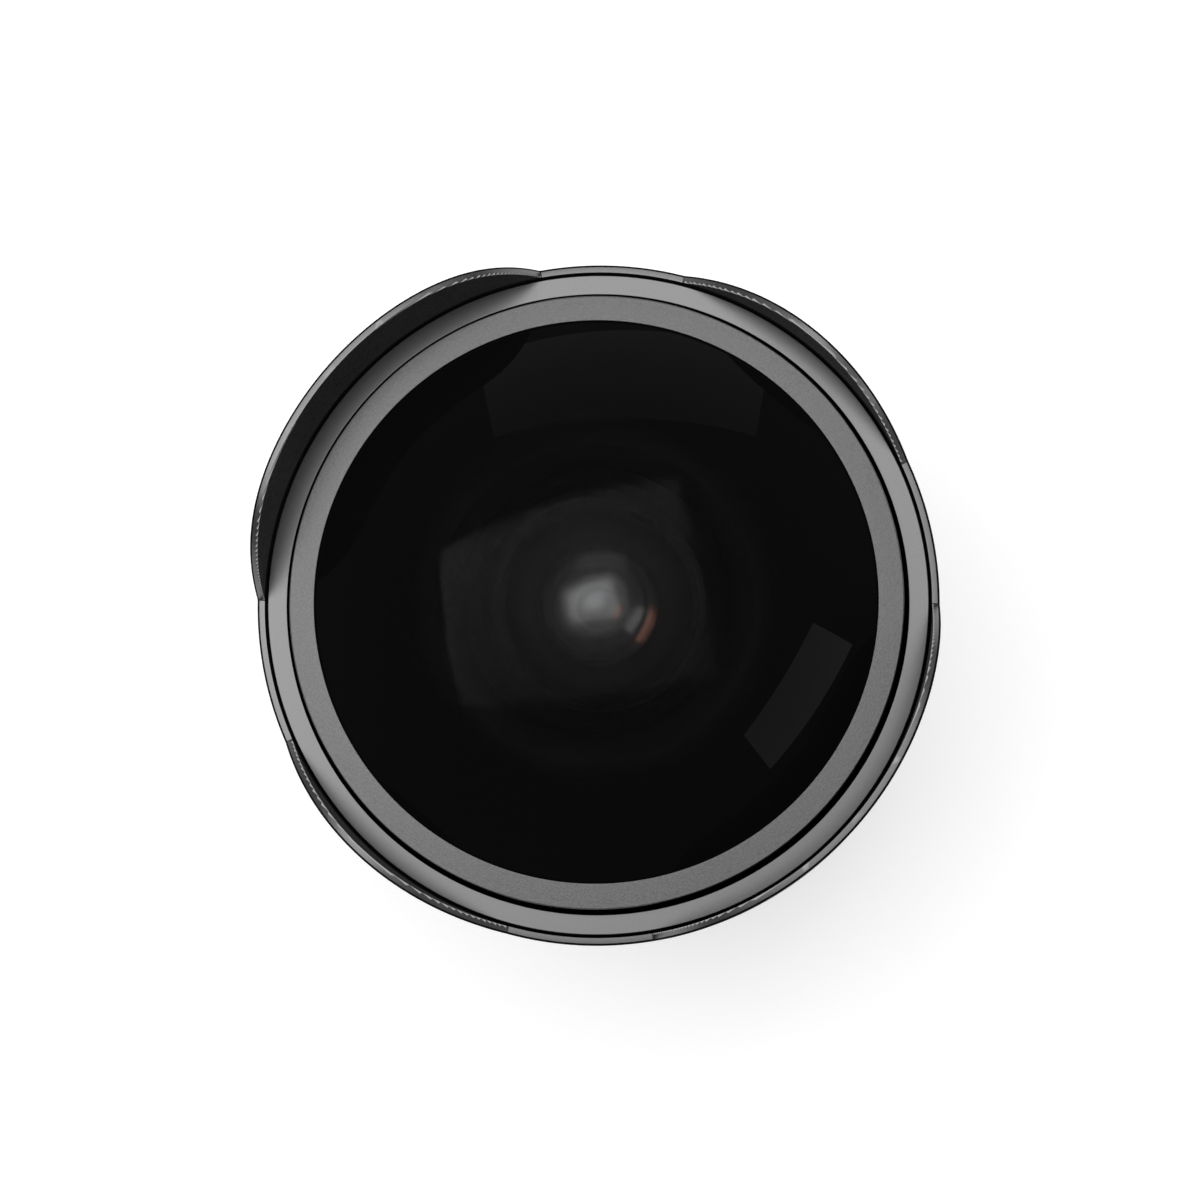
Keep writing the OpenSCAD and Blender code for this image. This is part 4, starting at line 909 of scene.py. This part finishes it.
# %% [markdown]
# ## Lights
# One large softbox hangs above and a little to the upper left. It makes the rims and rings shine and lies as a dim
# four-sided reflection in the dome. Its cloth is dimmer towards the lower right, which a Dot Product along that
# direction gives its emission. A narrow panel to the right adds the second, smaller reflection, and a broad dim one
# the reflection at the top.
#
# The small orange patch in the middle is a warm card, mirrored by the inside of the front glass. Only that patch
# shows it in the photo, so light linking keeps the card's light to the front glass, and glossy rays, which the
# outside of the glass mirrors, don't see it.


# %% Lights
def in_view(right, up, height):
    """A direction or place given along the picture's sides and the height."""
    return right * across + up * upward + Vector((0, 0, height))


def panel(name, place, facing, width, height, radiance, roll=0.0):
    """A softbox: an area lamp at a place, facing away from a direction, of a size in metres and a brightness."""
    data = bpy.data.lights.new(name, "AREA")
    data.shape = "RECTANGLE"
    data.size, data.size_y = width, height
    data.energy = radiance * math.pi * width * height
    lamp = bpy.data.objects.new(name, data)
    facing = facing.normalized()
    side = upward.cross(facing).normalized()
    axes = Matrix((side, facing.cross(side), facing)).transposed()
    lamp.matrix_world = Matrix.Translation(place) @ (Matrix.Rotation(roll, 3, facing) @ axes).to_4x4()
    bpy.context.collection.objects.link(lamp)
    print(name, "at", [round(c, 2) for c in place])
    return lamp


softbox = panel("softbox", in_view(-0.262, 0.09, 1.234), in_view(0.166, 0, 0.986), 1.365, 0.931, 5.0, 0.176)
FADE_START, FADE_END, FADE_LEFT = -0.49, 0.21, 0.55
softbox.data.use_nodes = True
tree = softbox.data.node_tree
spot = add(tree, "ShaderNodeNewGeometry").outputs["Position"]
along = add(tree, "ShaderNodeVectorMath", {"operation": "DOT_PRODUCT"}, {1: in_view(0.42, -0.91, 0)}, {0: spot})
fade = add(tree, "ShaderNodeMapRange",
           values={"From Min": FADE_START, "From Max": FADE_END, "To Min": 1.0, "To Max": FADE_LEFT},
           links={"Value": along.outputs["Value"]})
tree.links.new(fade.outputs["Result"], tree.nodes["Emission"].inputs["Strength"])
panel("side panel", in_view(0.993, -0.391, 1.12), in_view(0.893, -0.367, 0.262), 0.308, 0.777, 3.2, -0.338)
panel("top panel", in_view(0.06, 1.25, 0.9), in_view(0.04, 0.8, 0.55), 1.5, 0.6, 0.65)
card = panel("warm card", in_view(1.2, -0.53, 0.53), in_view(0.86, -0.38, 0.33), 0.53, 0.86, 4.5, -0.2)
card.data.color = linear("#ffae95")[:3]
mirrors = bpy.data.collections.new("mirrors of the warm card")
mirrors.objects.link(dome)
card.light_linking.receiver_collection = mirrors
card.visible_glossy = False

# %% [markdown]
# ## Floor and backdrop
# The lens stands on white paper that sweeps up all round, so no horizon shows from a low view. A line that runs flat
# and then curves upwards is spun round for it. The photo's paper is lit until it is white. That much light would
# spoil the lens, so the paper glows by half of white for the rays of the camera, of mirrors and of glass, which Light
# Path tells from the rest. What is left is plain paper and keeps the lens's shadow.

# %% Floor, backdrop and view
FLOOR_R, SWEEP_R, SWEEP_TURN, SWEEP_STEPS = 3.0, 3.0, 50, 24
GLOW_SHARE, GLOW_STRENGTH = 0.25, 2.0
bm = bmesh.new()
sweep = [math.radians(SWEEP_TURN * i / SWEEP_STEPS) for i in range(SWEEP_STEPS + 1)]
profile = [(0, 0)] + [(FLOOR_R + SWEEP_R * math.sin(turn), SWEEP_R * (1 - math.cos(turn))) for turn in sweep]
line = [bm.verts.new((radius, 0, cad_box[0][2] + rise)) for radius, rise in profile]
for start, end in zip(line, line[1:]):
    bm.edges.new((start, end))
bmesh.ops.spin(bm, geom=bm.verts[:] + bm.edges[:], cent=(0, 0, 0), axis=(0, 0, 1), angle=math.tau, steps=128,
               use_merge=True)
bmesh.ops.remove_doubles(bm, verts=bm.verts[:], dist=1e-6)
bmesh.ops.recalc_face_normals(bm, faces=bm.faces[:])
for face in bm.faces:
    face.smooth = True
floor_mesh = bpy.data.meshes.new("floor")
bm.to_mesh(floor_mesh)
bm.free()
# Coated white paper, dull and nearly without sheen
floor_paper, tree, shader, _ = new_finish("white background paper", Roughness=0.9, Specular_IOR_Level=0.2,
                                          Base_Color=linear("#f2f2f2"))
rays = add(tree, "ShaderNodeLightPath").outputs
mirrored = add(tree, "ShaderNodeMath", {"operation": "MAXIMUM"},
               links={0: rays["Is Glossy Ray"], 1: rays["Is Transmission Ray"]})
seen = add(tree, "ShaderNodeMath", {"operation": "MAXIMUM"},
           links={0: rays["Is Camera Ray"], 1: mirrored.outputs["Value"]})
share = add(tree, "ShaderNodeMath", {"operation": "MULTIPLY"}, {1: GLOW_SHARE}, {0: seen.outputs["Value"]})
glow = add(tree, "ShaderNodeEmission", values={"Strength": GLOW_STRENGTH})
lit = add(tree, "ShaderNodeMixShader",
          links={"Fac": share.outputs["Value"], 1: shader.outputs["BSDF"], 2: glow.outputs["Emission"]})
tree.links.new(lit.outputs["Shader"], tree.nodes["Material Output"].inputs["Surface"])
floor_mesh.materials.append(floor_paper)
floor = bpy.data.objects.new("floor", floor_mesh)
bpy.context.collection.objects.link(floor)

world = bpy.data.worlds.new("studio")
world.use_nodes = True
world.node_tree.nodes["Background"].inputs["Color"].default_value = linear("#ffffff")
world.node_tree.nodes["Background"].inputs["Strength"].default_value = 0.2
bpy.context.scene.world = world
bpy.context.scene.view_settings.view_transform = "Standard"
print("floor to", FLOOR_R, "m, backdrop sweeping up by", SWEEP_TURN, "degrees")
